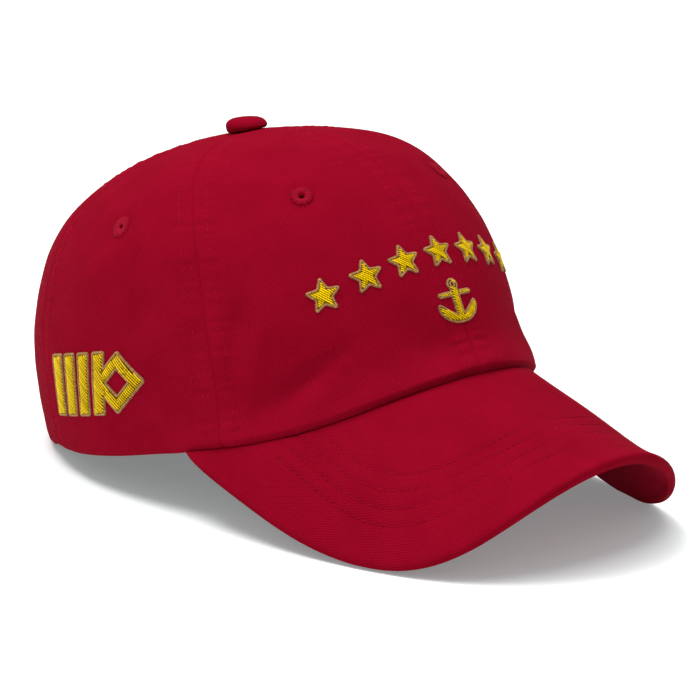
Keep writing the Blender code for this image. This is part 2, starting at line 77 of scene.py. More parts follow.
azimuth, elevation, roll = (math.radians(a) for a in (CAMERA_AZIMUTH, CAMERA_ELEVATION, CAMERA_ROLL))
backward = np.array([
    math.sin(azimuth) * math.cos(elevation), -math.cos(azimuth) * math.cos(elevation), math.sin(elevation)
])
level_right = np.array([math.cos(azimuth), math.sin(azimuth), 0.0])
level_up = np.cross(backward, level_right)
camera_right = level_right * math.cos(roll) + level_up * math.sin(roll)
camera_up = level_up * math.cos(roll) - level_right * math.sin(roll)
camera_data = bpy.data.cameras.new("camera")
camera_data.lens = CAMERA_LENS_MM
camera_data.sensor_width = CAMERA_SENSOR_MM
camera = bpy.data.objects.new("camera", camera_data)
bpy.context.scene.collection.objects.link(camera)
placing = Matrix(np.stack([camera_right, camera_up, backward], axis=1).tolist()).to_4x4()
placing.translation = (np.array(CAMERA_AIM) + CAMERA_DISTANCE * backward).tolist()
camera.matrix_world = placing
bpy.context.scene.camera = camera
bpy.context.scene.view_settings.view_transform = "Standard"

for name, place, size, watts in LIGHTS:
    bpy.ops.object.light_add(type="AREA", location=place)
    lamp = bpy.context.object
    lamp.name = name
    lamp.data.size = size
    lamp.data.energy = watts
    lamp.rotation_euler = (Vector(LIGHTS_AIM) - lamp.location).to_track_quat("-Z", "Y").to_euler()
world = bpy.data.worlds.new("white_studio")
world.use_nodes = True
world.node_tree.nodes["Background"].inputs["Color"].default_value = linear("ffffff")
world.node_tree.nodes["Background"].inputs["Strength"].default_value = ROOM_LIGHT
bpy.context.scene.world = world

# White table. It glows a little though it is no lamp: painted light that keeps the shadows on it light.
# The glow and the table's colour are a little cool, against the red that the cap throws onto the table.
bpy.ops.mesh.primitive_plane_add(size=TABLE_WIDTH)
table = bpy.context.object
table.name = "white_table"
acrylic, _, shader = new_material("white_table_with_painted_glow")
shader.inputs["Base Color"].default_value = linear("f6f7f7")
shader.inputs["Roughness"].default_value = 0.9
shader.inputs["Specular IOR Level"].default_value = 0.1
# Painted glow: the emission lightens the table's shadows, and its cool tint offsets the cap's red
shader.inputs["Emission Color"].default_value = linear("eaffff")
shader.inputs["Emission Strength"].default_value = 0.21
table.data.materials.append(acrylic)

# Crown: six panels of washed cotton twill, cut to shape and sewn edge to edge over nothing stiff. Each
# seam is pressed open and stitched down on both sides, so the cloth puckers along it, and the front
# panels swell a little over the join with the peak. The formulas are those of the CAD part.
MM = 0.001
RIM_HALF_WIDTH = 77.0 * MM
RIM_FRONT_REACH = 102.0 * MM
RIM_BACK_REACH = 104.0 * MM
RIM_ROUNDNESS = 0.97
RIM_RUNOUT = 19.3 * MM
CROWN_HEIGHT = 110.5 * MM
BUTTON_SETBACK = 7.0 * MM
TOP_TILT = 0.10
TOP_HOLE_RADIUS = 3.5 * MM
PANEL_WALL = 1.6 * MM
PROFILES = {
    "front": {"bulge": -0.100, "rise": 0.360, "shoulder": 0.830},
    "side": {"bulge": 0.027, "rise": 0.475, "shoulder": 1.070},
    "back": {"bulge": 0.130, "rise": 0.590, "shoulder": 0.765},
}
# Each seam's angle from the front at the rim, and how far it has turned at the button, in degrees
SEAMS = {"front": (0.0, 0.0), "side": (67.0, 14.3), "back": (122.0, 5.0), "rear": (180.0, 0.0)}
# Each panel's place, and the seams at its front and at its back
PANELS = (("front", "front", "side"), ("side", "side", "back"), ("back", "back", "rear"))
SIDES = (("right", -1), ("left", 1))
# The peak's upper face, which the hem of the front follows
PEAK_CORNER = 76.4
PEAK_CORNER_TAPER = 9.0
PEAK_THICKNESS = 4.2 * MM
PEAK_REACH = 64.0 * MM
PEAK_ROOT_HEIGHT = 22.5 * MM
PEAK_SLOPE = 0.575
PEAK_FLARE = 9.4 * MM
PEAK_ARCH = 48.6 * MM
PEAK_DROOP = 15.8 * MM
PEAK_DROOP_GROWTH = 0.858
# How the cap stands: its lean back, and where the rim's centre comes
LEAN = 0.177870
LIFT = 15.968 * MM
SETBACK = 26.9905 * MM


def signed_power(value, power):
    return np.sign(value) * np.abs(value) ** power


def smooth_step(value, start, end):
    """0 at the start, 1 at the end and smooth between."""
    share = np.clip((value - start) / (end - start), 0.0, 1.0)
    return share * share * (3 - 2 * share)


def bump(value, middle, width):
    return np.exp(-((value - middle) / width) ** 2)


def unit(vectors):
    return vectors / np.linalg.norm(vectors, axis=-1, keepdims=True)


def running_length(points, axis):
    """Length along a line or a grid of points, from its first one."""
    steps = np.linalg.norm(np.diff(points, axis=axis), axis=-1)
    return np.concatenate([np.zeros_like(steps.take([0], axis=axis)), steps.cumsum(axis=axis)], axis=axis)


def rim_outline(phi):
    """Plan position of the rim at an angle from the front, positive to the wearer's left."""
    reach = np.where(np.cos(phi) > 0, RIM_FRONT_REACH, RIM_BACK_REACH)
    x = RIM_HALF_WIDTH * signed_power(np.sin(phi), RIM_ROUNDNESS)
    return x, -reach * signed_power(np.cos(phi), RIM_ROUNDNESS)


def peak_height(x, y):
    """Height of the peak's upper face above the rim's plane."""
    forward = -y - RIM_FRONT_REACH
    run = forward / PEAK_REACH
    across = x / RIM_HALF_WIDTH
    droop = PEAK_DROOP * (1 + PEAK_DROOP_GROWTH * run)
    middle = PEAK_ROOT_HEIGHT - PEAK_SLOPE * forward + PEAK_FLARE * run ** 3
    return middle - PEAK_ARCH * across ** 2 - droop * across ** 4


def peak_normal(x, y):
    step = 0.1 * MM
    slope_x = (peak_height(x + step, y) - peak_height(x - step, y)) / (2 * step)
    slope_y = (peak_height(x, y + step) - peak_height(x, y - step)) / (2 * step)
    return unit(np.stack([-slope_x, -slope_y, np.ones_like(slope_x)], axis=-1))


def peak_taper(phi):
    """1 along the peak, falling to 0 at its two corners."""
    return smooth_step(np.degrees(np.abs(phi)), PEAK_CORNER, PEAK_CORNER - PEAK_CORNER_TAPER)


def rim_height(phi):
    """Height of the crown's lower line: along the peak, then running out to the flat rim."""
    x, y = rim_outline(phi)
    corner = np.array([math.radians(PEAK_CORNER), math.radians(PEAK_CORNER) - 0.01])
    corner_x, corner_y = rim_outline(corner)
    corner_z = peak_height(corner_x, corner_y)
    slope = (corner_z[0] - corner_z[1]) / (corner_y[0] - corner_y[1])
    run = np.maximum((y - corner_y[0]) / RIM_RUNOUT, 0.0)
    runout = (corner_z[0] + (slope * RIM_RUNOUT + corner_z[0]) * run) * np.exp(-run)
    return np.where(np.abs(phi) <= math.radians(PEAK_CORNER), peak_height(x, y), runout)


def profile(name, phi):
    """A profile value at an angle, blended through its front, side and back rows."""
    front, side, rear = (PROFILES[row][name] for row in ("front", "side", "back"))
    mean = (front + rear) / 4 + side / 2
    pinch = (front + rear) / 4 - side / 2
    return mean + (front - rear) / 2 * np.cos(phi) + pinch * np.cos(2 * phi)


def crown_point(phi, share):
    """Point of the crown in the rim's frame, share 0 at the rim and 1 at the button."""
    x, y = rim_outline(phi)
    base = rim_height(phi)
    shoulder = profile("shoulder", phi)
    radius = np.hypot(x, y - BUTTON_SETBACK)
    crest = 1 + TOP_TILT * np.cos(phi) * shoulder * radius / CROWN_HEIGHT
    low = 3 * share * (1 - share) ** 2
    high = 3 * share ** 2 * (1 - share)
    out = (1 - share) ** 3 + low * (1 + profile("bulge", phi)) + high * shoulder
    up = low * profile("rise", phi) + high * crest + share ** 3
    height = base + (CROWN_HEIGHT - base) * up
    return np.stack([x * out, BUTTON_SETBACK + (y - BUTTON_SETBACK) * out, height], axis=-1)


def crown_frame(phi, share):
    """Point, steps along both parameters and outward normal of the crown."""
    step = 0.001
    along = (crown_point(phi + step, share) - crown_point(phi - step, share)) / (2 * step)
    up = (crown_point(phi, share + step) - crown_point(phi, share - step)) / (2 * step)
    return crown_point(phi, share), along, up, unit(np.cross(along, up))


def turned(vectors, lean=LEAN):
    """Directions of the rim's frame, leaned back as the cap stands or by another lean."""
    y = vectors[..., 1] * math.cos(lean) + vectors[..., 2] * math.sin(lean)
    z = vectors[..., 2] * math.cos(lean) - vectors[..., 1] * math.sin(lean)
    return np.stack([vectors[..., 0], y, z], axis=-1)


def standing(points):
    """Points of the rim's frame, moved to where the cap stands."""
    return turned(points) + np.array([0.0, SETBACK, LIFT])


# The cloth as it hangs: slow swells all over, as pairs of length and height in millimetres, and slack
# folds, each with its angle from the front, share up the profile, length and width in millimetres,
# slope in degrees and height in millimetres
CLOTH_SWELLS = ((52.0, 0.40), (33.0, 0.24), (21.0, 0.12), (13.0, 0.05))
FOLDS = (
    (-46.0, 0.142, 15.0, 3.4, 21.0, -2.6),
    (-42.0, 0.090, 11.0, 5.0, 19.0, 1.3),
    (-55.0, 0.085, 10.0, 7.0, 35.0, -1.7),
    (-61.5, 0.283, 13.0, 3.4, 76.0, -1.5),
    (-56.5, 0.225, 17.0, 3.6, 72.0, 1.0),
    (-8.0, 0.120, 9.0, 10.0, 70.0, -0.9),
    (-22.0, 0.130, 14.0, 8.0, 10.0, 0.5),
    (-86.0, 0.330, 28.0, 8.0, 32.0, -1.6),
    (-99.0, 0.440, 22.0, 8.0, 32.0, 1.2),
    (-88.0, 0.050, 26.0, 2.6, 0.0, -0.6),
    (-137.0, 0.220, 34.0, 14.0, 90.0, 0.7),
    (-150.0, 0.880, 12.0, 11.0, 0.0, 0.8),
    (150.0, 0.880, 12.0, 11.0, 0.0, 0.8),
    (54.0, 0.730, 16.0, 15.0, 0.0, 1.3),
    (47.0, 0.130, 20.0, 5.5, -32.0, -1.5),
    (38.0, 0.065, 20.0, 7.0, -20.0, 0.9),
    (84.0, 0.240, 24.0, 12.0, -70.0, -0.8),
    (135.0, 0.300, 24.0, 14.0, 60.0, -0.7),
)
FOLD_LIMIT = 90.0 * MM
# The cloth at a seam, in millimetres: the dip and how wide it is, the doubled cloth and where it
# fades out, the pull of the stitch row, and the puckers with where they start and end
SEAM_DIP = 0.31
SEAM_DIP_WIDTH = 0.5
SEAM_DOUBLED = 0.26
DOUBLED_FADE = 1.6
ROW_PULL = 0.15
ROW_PULL_WIDTH = 0.6
PUCKER_HEIGHT = 0.26
PUCKER_LENGTHS = (3.6, 5.2, 7.7)
PUCKER_SWELL = 0.35
PUCKERS_PER_SWELL = 5.3
PUCKER_START = (0.3, 2.2)
PUCKER_END = (0.2, 6.0)
PUCKER_SEEDS = {"front": (11, 11), "side": (22, 23), "back": (24, 25), "rear": (12, 12)}
# How far from its seam a stitch row runs
SEAM_ROW = 5.7 * MM
# Shares of the seam's relief that the button and the embroidery press flat, and where up the profile
BUTTON_PRESS = 0.85
BUTTON_PRESS_SHARES = (0.88, 0.97)
EMBROIDERY_PRESS = 0.8
EMBROIDERY_START_SHARES = (0.13, 0.18)
EMBROIDERY_END_SHARES = (0.43, 0.48)
# Heights of the cloth along the hem, in millimetres
JOIN_SWELL = 1.0
JOIN_SWELL_MIDDLE = 0.9
JOIN_TUCK = 0.5
HEM_TUCK = 0.7
HEM_ROLL = 1.2
HEM_CURL = 0.6 * MM
HEM_CURL_RISE = 0.4 * MM
# Where these change along the hem, in degrees from the front, and up from it, in millimetres
ON_PEAK_ANGLES = (84.0, 70.0)
JOIN_MIDDLE_ANGLES = (60.0, 10.0)
JOIN_SWELL_HEIGHTS = (2.0, 17.0)
JOIN_TUCK_HEIGHT = 2.4
HEM_TUCK_HEIGHT = 1.6
HEM_ROLL_START = (104.0, 128.0)
HEM_ROLL_END = (136.0, 150.0)
HEM_ROLL_HEIGHT = 7.5
# The hem of the back sinks onto the table, and that over the peak's corners hangs down to the peak
HEM_SAG_ANGLES = (131.0, 146.0)
HEM_SAG_SHARE = 0.06
HEM_SINK = 0.6 * MM
CORNER_SAG = 0.8 * MM
CORNER_SAG_ANGLE = 77.0
CORNER_SAG_WIDTH = 6.0
CORNER_SAG_SHARE = 0.05
# Where each eyelet sits: degrees from the front, and its share up the profile
EYELETS = {"front": (38.0, 0.610), "side": (94.0, 0.572), "back": (151.0, 0.560)}
EYELET_HOLE = 1.8 * MM
EYELET_PULL = 0.2 * MM
EYELET_PULL_RADIUS = 5.4
EYELET_PULL_WIDTH = 1.3
# The arched opening of the back, and in millimetres the place of its stitch row and the heights there
ARCH_HALF_WIDTH = 36.0 * MM
ARCH_HEIGHT = 45.0 * MM
ARCH_ROW = 6.0
ARCH_DOUBLED = 0.35
ARCH_DOUBLED_FADE = 1.2
ARCH_ROW_PULL = 0.28
ARCH_ROW_PULL_WIDTH = 0.55
ARCH_EDGE_TURN = 0.45
PANEL_COLUMNS = 112
COLUMN_CROWDING = 0.105
PANEL_ROWS = 150
ROW_EVENNESS = 0.35
TURN_IN_ROWS = 4
CRISP_ANGLE = 55.0


def waves(points, seed, sizes):
    """Soft swells of the cloth: sums of slow waves, given as pairs of length and height in millimetres."""
    draw = random.Random(seed)
    total = np.zeros(points.shape[:-1])
    for length, height in sizes:
        for _ in range(2):
            heading = np.array([draw.gauss(0, 1) for _ in range(3)])
            heading /= np.linalg.norm(heading)
            phase = draw.uniform(0, 2 * math.pi)
            total += height * MM / 2 * np.sin(points @ heading * 2 * math.pi / (length * MM) + phase)
    return total


def cloth_relief(point):
    """Height of the slack cloth above the plain crown, away from seams and hems."""
    relief = waves(point, 5, CLOTH_SWELLS)
    for angle, share, length, width, slope, height in FOLDS:
        middle, along, _, normal = crown_frame(math.radians(angle), share)
        right = unit(along)
        up = np.cross(normal, right)
        u, v = (point - middle) @ right, (point - middle) @ up
        lean = math.radians(slope)
        run = (u * math.cos(lean) + v * math.sin(lean)) / (length * MM)
        rise = (v * math.cos(lean) - u * math.sin(lean)) / (width * MM)
        near = np.linalg.norm(point - middle, axis=-1) < FOLD_LIMIT
        relief += np.where(near, height * MM * np.exp(-run ** 2 - rise ** 2), 0.0)
    return relief


def puckers(along, seed):
    """Uneven puckers along a seam, between about -1 and 1."""
    draw = random.Random(seed)
    total = np.zeros_like(along)
    for length in PUCKER_LENGTHS:
        turns = 2 * math.pi * along / (length * MM)
        swell = np.sin(turns / PUCKERS_PER_SWELL + draw.uniform(0, 6.3))
        swell = 1 - PUCKER_SWELL + PUCKER_SWELL * swell
        total += swell * np.sin(turns + draw.uniform(0, 6.3))
    return total / 2


def seam_relief(distance, along, seed):
    """Dip at the seam, the doubled cloth beside it, the pull of the stitch row and the puckers."""
    away = distance / MM
    row = SEAM_ROW / MM
    height = SEAM_DOUBLED * (1 - smooth_step(away, row, row + DOUBLED_FADE))
    height -= SEAM_DIP * bump(away, 0.0, SEAM_DIP_WIDTH) + ROW_PULL * bump(away, row, ROW_PULL_WIDTH)
    band = smooth_step(away, *PUCKER_START) * (1 - smooth_step(away - row, *PUCKER_END))
    return MM * (height + PUCKER_HEIGHT * band * puckers(along, seed))


def on_peak(angle):
    """1 where the hem lies on the peak, 0 beyond the peak's corners."""
    return smooth_step(angle, *ON_PEAK_ANGLES)


def hem_relief(angle, rise):
    """The swell over the join with the peak, and the hem beyond it, which rolls in at the sides."""
    tuck = smooth_step(rise, 0.0, JOIN_TUCK_HEIGHT)
    swell = JOIN_SWELL + JOIN_SWELL_MIDDLE * smooth_step(angle, *JOIN_MIDDLE_ANGLES)
    swell = swell * (1 - smooth_step(rise, *JOIN_SWELL_HEIGHTS))
    join = swell * tuck - JOIN_TUCK * (1 - tuck)
    free = HEM_TUCK * (1 - on_peak(angle)) * (1 - smooth_step(rise, 0.0, HEM_TUCK_HEIGHT))
    rolled = smooth_step(angle, *HEM_ROLL_START) * (1 - smooth_step(angle, *HEM_ROLL_END))
    rolled = rolled * np.clip(1 - rise / HEM_ROLL_HEIGHT, 0, 1) ** 2
    return MM * (on_peak(angle) * join - free - HEM_ROLL * rolled)


def arch_relief(upright):
    """The turned-in edge of the arched opening: doubled cloth with a row of stitches."""
    reach = np.hypot(upright[..., 0] / ARCH_HALF_WIDTH, upright[..., 2] / ARCH_HEIGHT)
    away = ARCH_HEIGHT / MM * (reach - 1)
    doubled = ARCH_DOUBLED * (1 - smooth_step(away, ARCH_ROW, ARCH_ROW + ARCH_DOUBLED_FADE))
    pull = ARCH_ROW_PULL * bump(away, ARCH_ROW, ARCH_ROW_PULL_WIDTH)
    return MM * (doubled - pull - ARCH_EDGE_TURN * (1 - smooth_step(away, 0.0, 1.0)))


def fit_to_arch(placed, facing):
    """Move the points just inside the arch out onto its line, and say which others lie inside it."""
    reach = np.hypot(placed[..., 0] / ARCH_HALF_WIDTH, placed[..., 2] / ARCH_HEIGHT)
    inside = reach < 1.0
    beside = np.zeros_like(inside)
    beside[:-1] |= ~inside[1:]
    beside[1:] |= ~inside[:-1]
    beside[:, :-1] |= ~inside[:, 1:]
    beside[:, 1:] |= ~inside[:, :-1]
    edge = inside & beside
    shift = (1 / np.maximum(reach, 0.5) - 1)[..., None] * placed * np.array([1.0, 0.0, 1.0])
    shift[..., 1] = -(facing[..., 0] * shift[..., 0] + facing[..., 2] * shift[..., 2]) / facing[..., 1]
    return np.where(edge[..., None], placed + shift, placed), inside & ~edge


def panel_grid(first, last, side):
    """A panel's angles and shares between two seams, and how far each row is turned in at the hem."""
    # Rows are close together over the join, and columns along the seams
    level = np.linspace(0, 1, PANEL_ROWS + 1)[:, None]
    crowded = ROW_EVENNESS * level + (1 - ROW_EVENNESS) * level ** 1.5
    share = (1 - TOP_HOLE_RADIUS / (3 * RIM_HALF_WIDTH)) * crowded
    turn_in = np.linspace(1, 0, TURN_IN_ROWS + 1)[:-1, None]
    share = np.concatenate([np.zeros_like(turn_in), share])
    turn_in = np.concatenate([turn_in, np.zeros_like(level)])
    mix = np.linspace(0, 1, PANEL_COLUMNS + 1)[None, :]
    mix = mix - COLUMN_CROWDING * np.sin(2 * math.pi * mix)
    ends = [np.radians(SEAMS[seam][0] + SEAMS[seam][1] * share ** 2) for seam in (first, last)]
    if side < 0:
        ends = [-ends[1], -ends[0]]
    phi = ends[0] + (ends[1] - ends[0]) * mix
    return phi, np.broadcast_to(share, phi.shape), turn_in


def grid_piece(name, points, uv, wear_and_shade=None, closed=False):
    """A smooth mesh from a grid of points, with its cloth coordinates in millimetres and the relief heights
    that paint wear and shade into its colour.
    """
    rows, columns = points.shape[:2]
    index = np.arange(rows * columns).reshape(rows, columns)
    if closed:
        index = np.concatenate([index, index[:, :1]], axis=1)
    quads = np.stack([index[:-1, :-1], index[:-1, 1:], index[1:, 1:], index[1:, :-1]], axis=-1)
    quads = quads.reshape(-1, 4)
    mesh = bpy.data.meshes.new(name)
    mesh.from_pydata(points.reshape(-1, 3).tolist(), [], quads.tolist())
    layer = mesh.uv_layers.new(name="cloth_mm")
    layer.uv.foreach_set("vector", uv.reshape(-1, 2)[quads.ravel()].ravel())
    if wear_and_shade is not None:
        mesh.attributes.new("wear_and_shade", "FLOAT", "POINT").data.foreach_set("value", wear_and_shade.ravel())
    mesh.shade_smooth()
    piece = bpy.data.objects.new(name, mesh)
    bpy.context.scene.collection.objects.link(piece)
    return piece


def cut_away(piece, gone):
    """Delete the faces of a grid piece that touch any of the marked points."""
    corners = np.stack([gone[:-1, :-1], gone[:-1, 1:], gone[1:, 1:], gone[1:, :-1]])
    shape = bmesh.new()
    shape.from_mesh(piece.data)
    shape.faces.ensure_lookup_table()
    cut = [shape.faces[k] for k in np.nonzero(corners.any(axis=0).ravel())[0]]
    bmesh.ops.delete(shape, geom=cut, context="FACES")
    shape.to_mesh(piece.data)
    shape.free()


def finish_modifier(piece, kind, **settings):
    """Add a modifier and apply it."""
    bpy.ops.object.select_all(action="DESELECT")
    bpy.context.view_layer.objects.active = piece
    piece.select_set(True)
    made = piece.modifiers.new(kind.lower(), kind)
    for key, value in settings.items():
        setattr(made, key, value)
    bpy.ops.object.modifier_apply(modifier=made.name)


def node(tree, kind, inputs, output=0, **settings):
    """Add a node with its settings, set or link its inputs, and give back one of its outputs."""
    made = tree.nodes.new("ShaderNode" + kind)
    for key, value in settings.items():
        setattr(made, key, value)
    for key, value in inputs.items():
        if isinstance(value, bpy.types.NodeSocket):
            tree.links.new(value, made.inputs[key])
        else:
            made.inputs[key].default_value = value
    return made.outputs[output]


# Cotton twill, piece dyed and washed: matt, with fine diagonal ribs that run up to the right, each
# showing the short floats of its yarns. It is a little paler on the ribs, and uneven where the dye has
# washed out. The cloth's relief is also painted into its colour: darker in seam dips, creases and stitch
# grooves, which is painted shade, and paler where the cloth stands up, partly wear and partly painted
# highlight. Real ribs are finer, and wouldn't show in the render.
RIB_MM = 0.85
YARN_MM = 0.62
RIB_SLOPE = math.radians(52.0)
FUZZ_PER_MM = 2.6
WASH_PER_MM = 0.05
twill, tree, shader = new_material("red_cotton_twill")
cloth_mm = node(tree, "UVMap", {}, uv_map="cloth_mm")
across_axis = (-math.sin(RIB_SLOPE), math.cos(RIB_SLOPE), 0.0)
along_axis = (math.cos(RIB_SLOPE), math.sin(RIB_SLOPE), 0.0)
across_rib = node(tree, "VectorMath", {0: cloth_mm, 1: across_axis}, output=1, operation="DOT_PRODUCT")
along_rib = node(tree, "VectorMath", {0: cloth_mm, 1: along_axis}, output=1, operation="DOT_PRODUCT")
rib_phase = node(tree, "Math", {0: across_rib, 1: 2 * math.pi / RIB_MM}, operation="MULTIPLY")
rib = node(tree, "Math", {0: rib_phase}, operation="SINE")
yarn_turns = {0: along_rib, 1: 2 * math.pi / YARN_MM, 2: rib_phase}
yarn_phase = node(tree, "Math", yarn_turns, operation="MULTIPLY_ADD")
yarn = node(tree, "Math", {0: yarn_phase}, operation="SINE")
fuzz = node(tree, "TexNoise", {"Vector": cloth_mm, "Scale": FUZZ_PER_MM, "Detail": 3.0, "Roughness": 0.6})
washed = node(tree, "TexNoise", {"Vector": cloth_mm, "Scale": WASH_PER_MM, "Detail": 5.0, "Roughness": 0.6})
# The cloth's relief in millimetres: painted shade where it is sunk, wear and painted highlight where it
# stands up
wear_and_shade = node(tree, "Attribute", {}, output=2, attribute_name="wear_and_shade")
height = node(tree, "Math", {0: yarn, 1: 0.35, 2: rib}, operation="MULTIPLY_ADD")
height = node(tree, "Math", {0: fuzz, 1: 1.6, 2: height}, operation="MULTIPLY_ADD")
tone = node(tree, "Math", {0: height, 1: 0.10, 2: washed}, operation="MULTIPLY_ADD")
tone = node(tree, "Math", {0: wear_and_shade, 1: 0.30, 2: tone}, operation="MULTIPLY_ADD")
tone = node(tree, "MapRange", {"Value": tone, "From Min": 0.0, "From Max": 1.3})
dyed = node(tree, "Mix", {0: tone, 6: linear("780418"), 7: linear("980a26")}, output=2, data_type="RGBA")
relief = node(tree, "Bump", {"Height": height, "Strength": 0.55, "Distance": 0.10 * MM})
tree.links.new(dyed, shader.inputs["Base Color"])
tree.links.new(relief, shader.inputs["Normal"])
shader.inputs["Roughness"].default_value = 0.92
shader.inputs["Specular IOR Level"].default_value = 0.02
shader.inputs["Specular Tint"].default_value = linear("c81830")

panels = {}
for place_name, first, last in PANELS:
    for side_name, side in SIDES:
        name = place_name + "_panel_" + side_name
        phi, share, turn_in = panel_grid(first, last, side)
        point, _, _, normal = crown_frame(phi, share)
        run, rise = running_length(point, 1), running_length(point, 0)
        from_seams = (run, run[:, -1:] - run)
        angle = np.degrees(np.abs(phi))
        fine = hem_relief(angle, rise / MM)
        seams = (first, last) if side > 0 else (last, first)
        for seam, from_seam, rise_there in zip(seams, from_seams, (rise[:, :1], rise[:, -1:])):
            strength = 1 - BUTTON_PRESS * smooth_step(share, *BUTTON_PRESS_SHARES)
            if seam == "front":
                pressed = smooth_step(share, *EMBROIDERY_START_SHARES)
                pressed = pressed * (1 - smooth_step(share, *EMBROIDERY_END_SHARES))
                strength = strength * (1 - EMBROIDERY_PRESS * pressed)
            along = np.broadcast_to(rise_there, phi.shape)
            fine += strength * seam_relief(from_seam, along, PUCKER_SEEDS[seam][side > 0])
        if place_name == "back":
            fine += arch_relief(standing(point))
        spot_angle, spot_share = EYELETS[place_name]
        spot = crown_point(side * math.radians(spot_angle), spot_share)
        from_eyelet = np.linalg.norm(point - spot, axis=-1)
        fine -= EYELET_PULL * bump(from_eyelet / MM, EYELET_PULL_RADIUS, EYELET_PULL_WIDTH)
        placed = point + (cloth_relief(point) + fine)[..., None] * normal

        # Below the join the cloth turns in behind the peak; elsewhere the hem curls under
        under_peak = PEAK_THICKNESS * peak_taper(phi)[..., None] * peak_normal(*rim_outline(phi))
        curl = (1 - on_peak(angle))[..., None] * (HEM_CURL * normal + np.array([0.0, 0.0, HEM_CURL_RISE]))
        placed = standing(placed - turn_in[..., None] * (under_peak + curl))
        hem_height = np.maximum(standing(crown_point(phi, np.zeros_like(phi)))[..., 2] + HEM_SINK, 0.0)
        sag = hem_height * smooth_step(angle, *HEM_SAG_ANGLES) * (1 - smooth_step(share, 0.0, HEM_SAG_SHARE))
        at_corner = bump(angle, CORNER_SAG_ANGLE, CORNER_SAG_WIDTH)
        sag += CORNER_SAG * at_corner * (1 - smooth_step(share, 0.0, CORNER_SAG_SHARE))
        placed[..., 2] = np.maximum(placed[..., 2] - sag, 0.0)
        gone = from_eyelet < EYELET_HOLE
        if place_name == "back":
            placed, inside_arch = fit_to_arch(placed, turned(normal))
            gone |= inside_arch

        middle = slice(PANEL_COLUMNS // 2, PANEL_COLUMNS // 2 + 1)
        uv = np.stack([run - run[:, middle], np.broadcast_to(rise[:, middle], run.shape)], axis=-1) / MM
        # Its relief also colours the cloth: painted shade in dips and creases, wear and painted highlight on
        # swells
        cloth = grid_piece(name + "_cloth", placed, uv, wear_and_shade=fine / MM)
        cloth.data.materials.append(twill)
        cut_away(cloth, gone)
        finish_modifier(cloth, "SOLIDIFY", thickness=PANEL_WALL, offset=-1.0)
        # Cut edges stay crisp, so that the cloth is shaded as one across a seam
        cloth.data.set_sharp_from_angle(angle=math.radians(CRISP_ANGLE))
        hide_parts(name)
        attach(cloth, "root")
        flat = (round(float(run.max()), 3), round(float(rise.max()), 3))
        panels[name] = {
            "seams": seams, "from_seams": from_seams, "rise": rise, "share": share,
            "points": placed, "normals": turned(normal)
        }

# Top-stitching of the crown: polyester thread in the cloth's own red, one row on each side of every
# seam and one round the arched opening, about ten stitches to the inch. Each stitch is sunk into the
# cloth at its ends.
STITCH_PITCH = 2.6 * MM
STITCH_LENGTH = 2.4 * MM
STITCH_RADIUS = 0.17 * MM
STITCH_SINK = np.array([-0.20, 0.02, 0.06, 0.02, -0.20]) * MM
SEAM_ROW_START = 2.5 * MM
SEAM_ROW_END = 0.93
REAR_ROW_START = 50.0 * MM
ARCH_ROW_LIFT = 0.1 * MM
THREAD_SIDES = 6
THREAD_END_WIDTH = 0.6


def thread_material(name, dark, light, roughness, twist_mm):
    """Spun thread: fine plies that twist along it, each thread a little lighter or darker."""
    made, tree, shader = new_material(name)
    place = node(tree, "UVMap", {}, uv_map="thread_mm")
    twist = (2 * math.pi / twist_mm, 2 * math.pi, 0)
    ply = node(tree, "VectorMath", {0: place, 1: twist}, output=1, operation="DOT_PRODUCT")
    ply = node(tree, "Math", {0: ply}, operation="SINE")
    own = node(tree, "Attribute", {}, output=2, attribute_name="tone")
    tone = node(tree, "Math", {0: ply, 1: 0.18, 2: own}, operation="MULTIPLY_ADD")
    mixed = node(tree, "Mix", {0: tone, 6: linear(dark), 7: linear(light)}, output=2, data_type="RGBA")
    relief = node(tree, "Bump", {"Height": ply, "Strength": 0.5, "Distance": 0.05 * MM})
    tree.links.new(mixed, shader.inputs["Base Color"])
    tree.links.new(relief, shader.inputs["Normal"])
    shader.inputs["Roughness"].default_value = roughness
    shader.inputs["Specular IOR Level"].default_value = 0.3
    shader.inputs["Specular Tint"].default_value = linear(light)
    return made


def threads(name, paths, normals, half_width, half_height, surface, tones):
    """Threads as flattened tubes along paths (count, stations, 3), as one piece."""
    count, stations = paths.shape[:2]
    tangent = unit(np.gradient(paths, axis=1))
    side_way = unit(np.cross(tangent, normals))
    lift_way = np.cross(side_way, tangent)
    turns = np.arange(THREAD_SIDES) * 2 * math.pi / THREAD_SIDES
    taper = np.ones(stations)
    taper[[0, -1]] = THREAD_END_WIDTH
    wide = half_width * taper[None, :, None, None] * np.cos(turns)[None, None, :, None]
    high = half_height * taper[None, :, None, None] * np.sin(turns)[None, None, :, None]
    points = paths[:, :, None] + side_way[:, :, None] * wide + lift_way[:, :, None] * high
    index = np.arange(count * stations * THREAD_SIDES).reshape(count, stations, THREAD_SIDES)
    ring = np.roll(index, -1, axis=2)
    quads = np.stack([index[:, :-1], index[:, 1:], ring[:, 1:], ring[:, :-1]], axis=-1).reshape(-1, 4)
    ends = index[:, 0].tolist() + index[:, -1, ::-1].tolist()
    mesh = bpy.data.meshes.new(name)
    mesh.from_pydata(points.reshape(-1, 3).tolist(), [], quads.tolist() + ends)
    length = running_length(paths, 1)[:, :, None] / MM
    round_share = turns[None, None, :] / (2 * math.pi)
    uv = np.stack(np.broadcast_arrays(length, round_share), axis=-1).reshape(-1, 2)
    corners = np.zeros(len(mesh.loops), dtype=np.int32)
    mesh.loops.foreach_get("vertex_index", corners)
    mesh.uv_layers.new(name="thread_mm").uv.foreach_set("vector", uv[corners].ravel())
    values = mesh.attributes.new("tone", "FLOAT", "POINT")
    values.data.foreach_set("value", np.repeat(tones, stations * THREAD_SIDES))
    mesh.shade_smooth()
    mesh.materials.append(surface)
    piece = bpy.data.objects.new(name, mesh)
    bpy.context.scene.collection.objects.link(piece)
    return piece


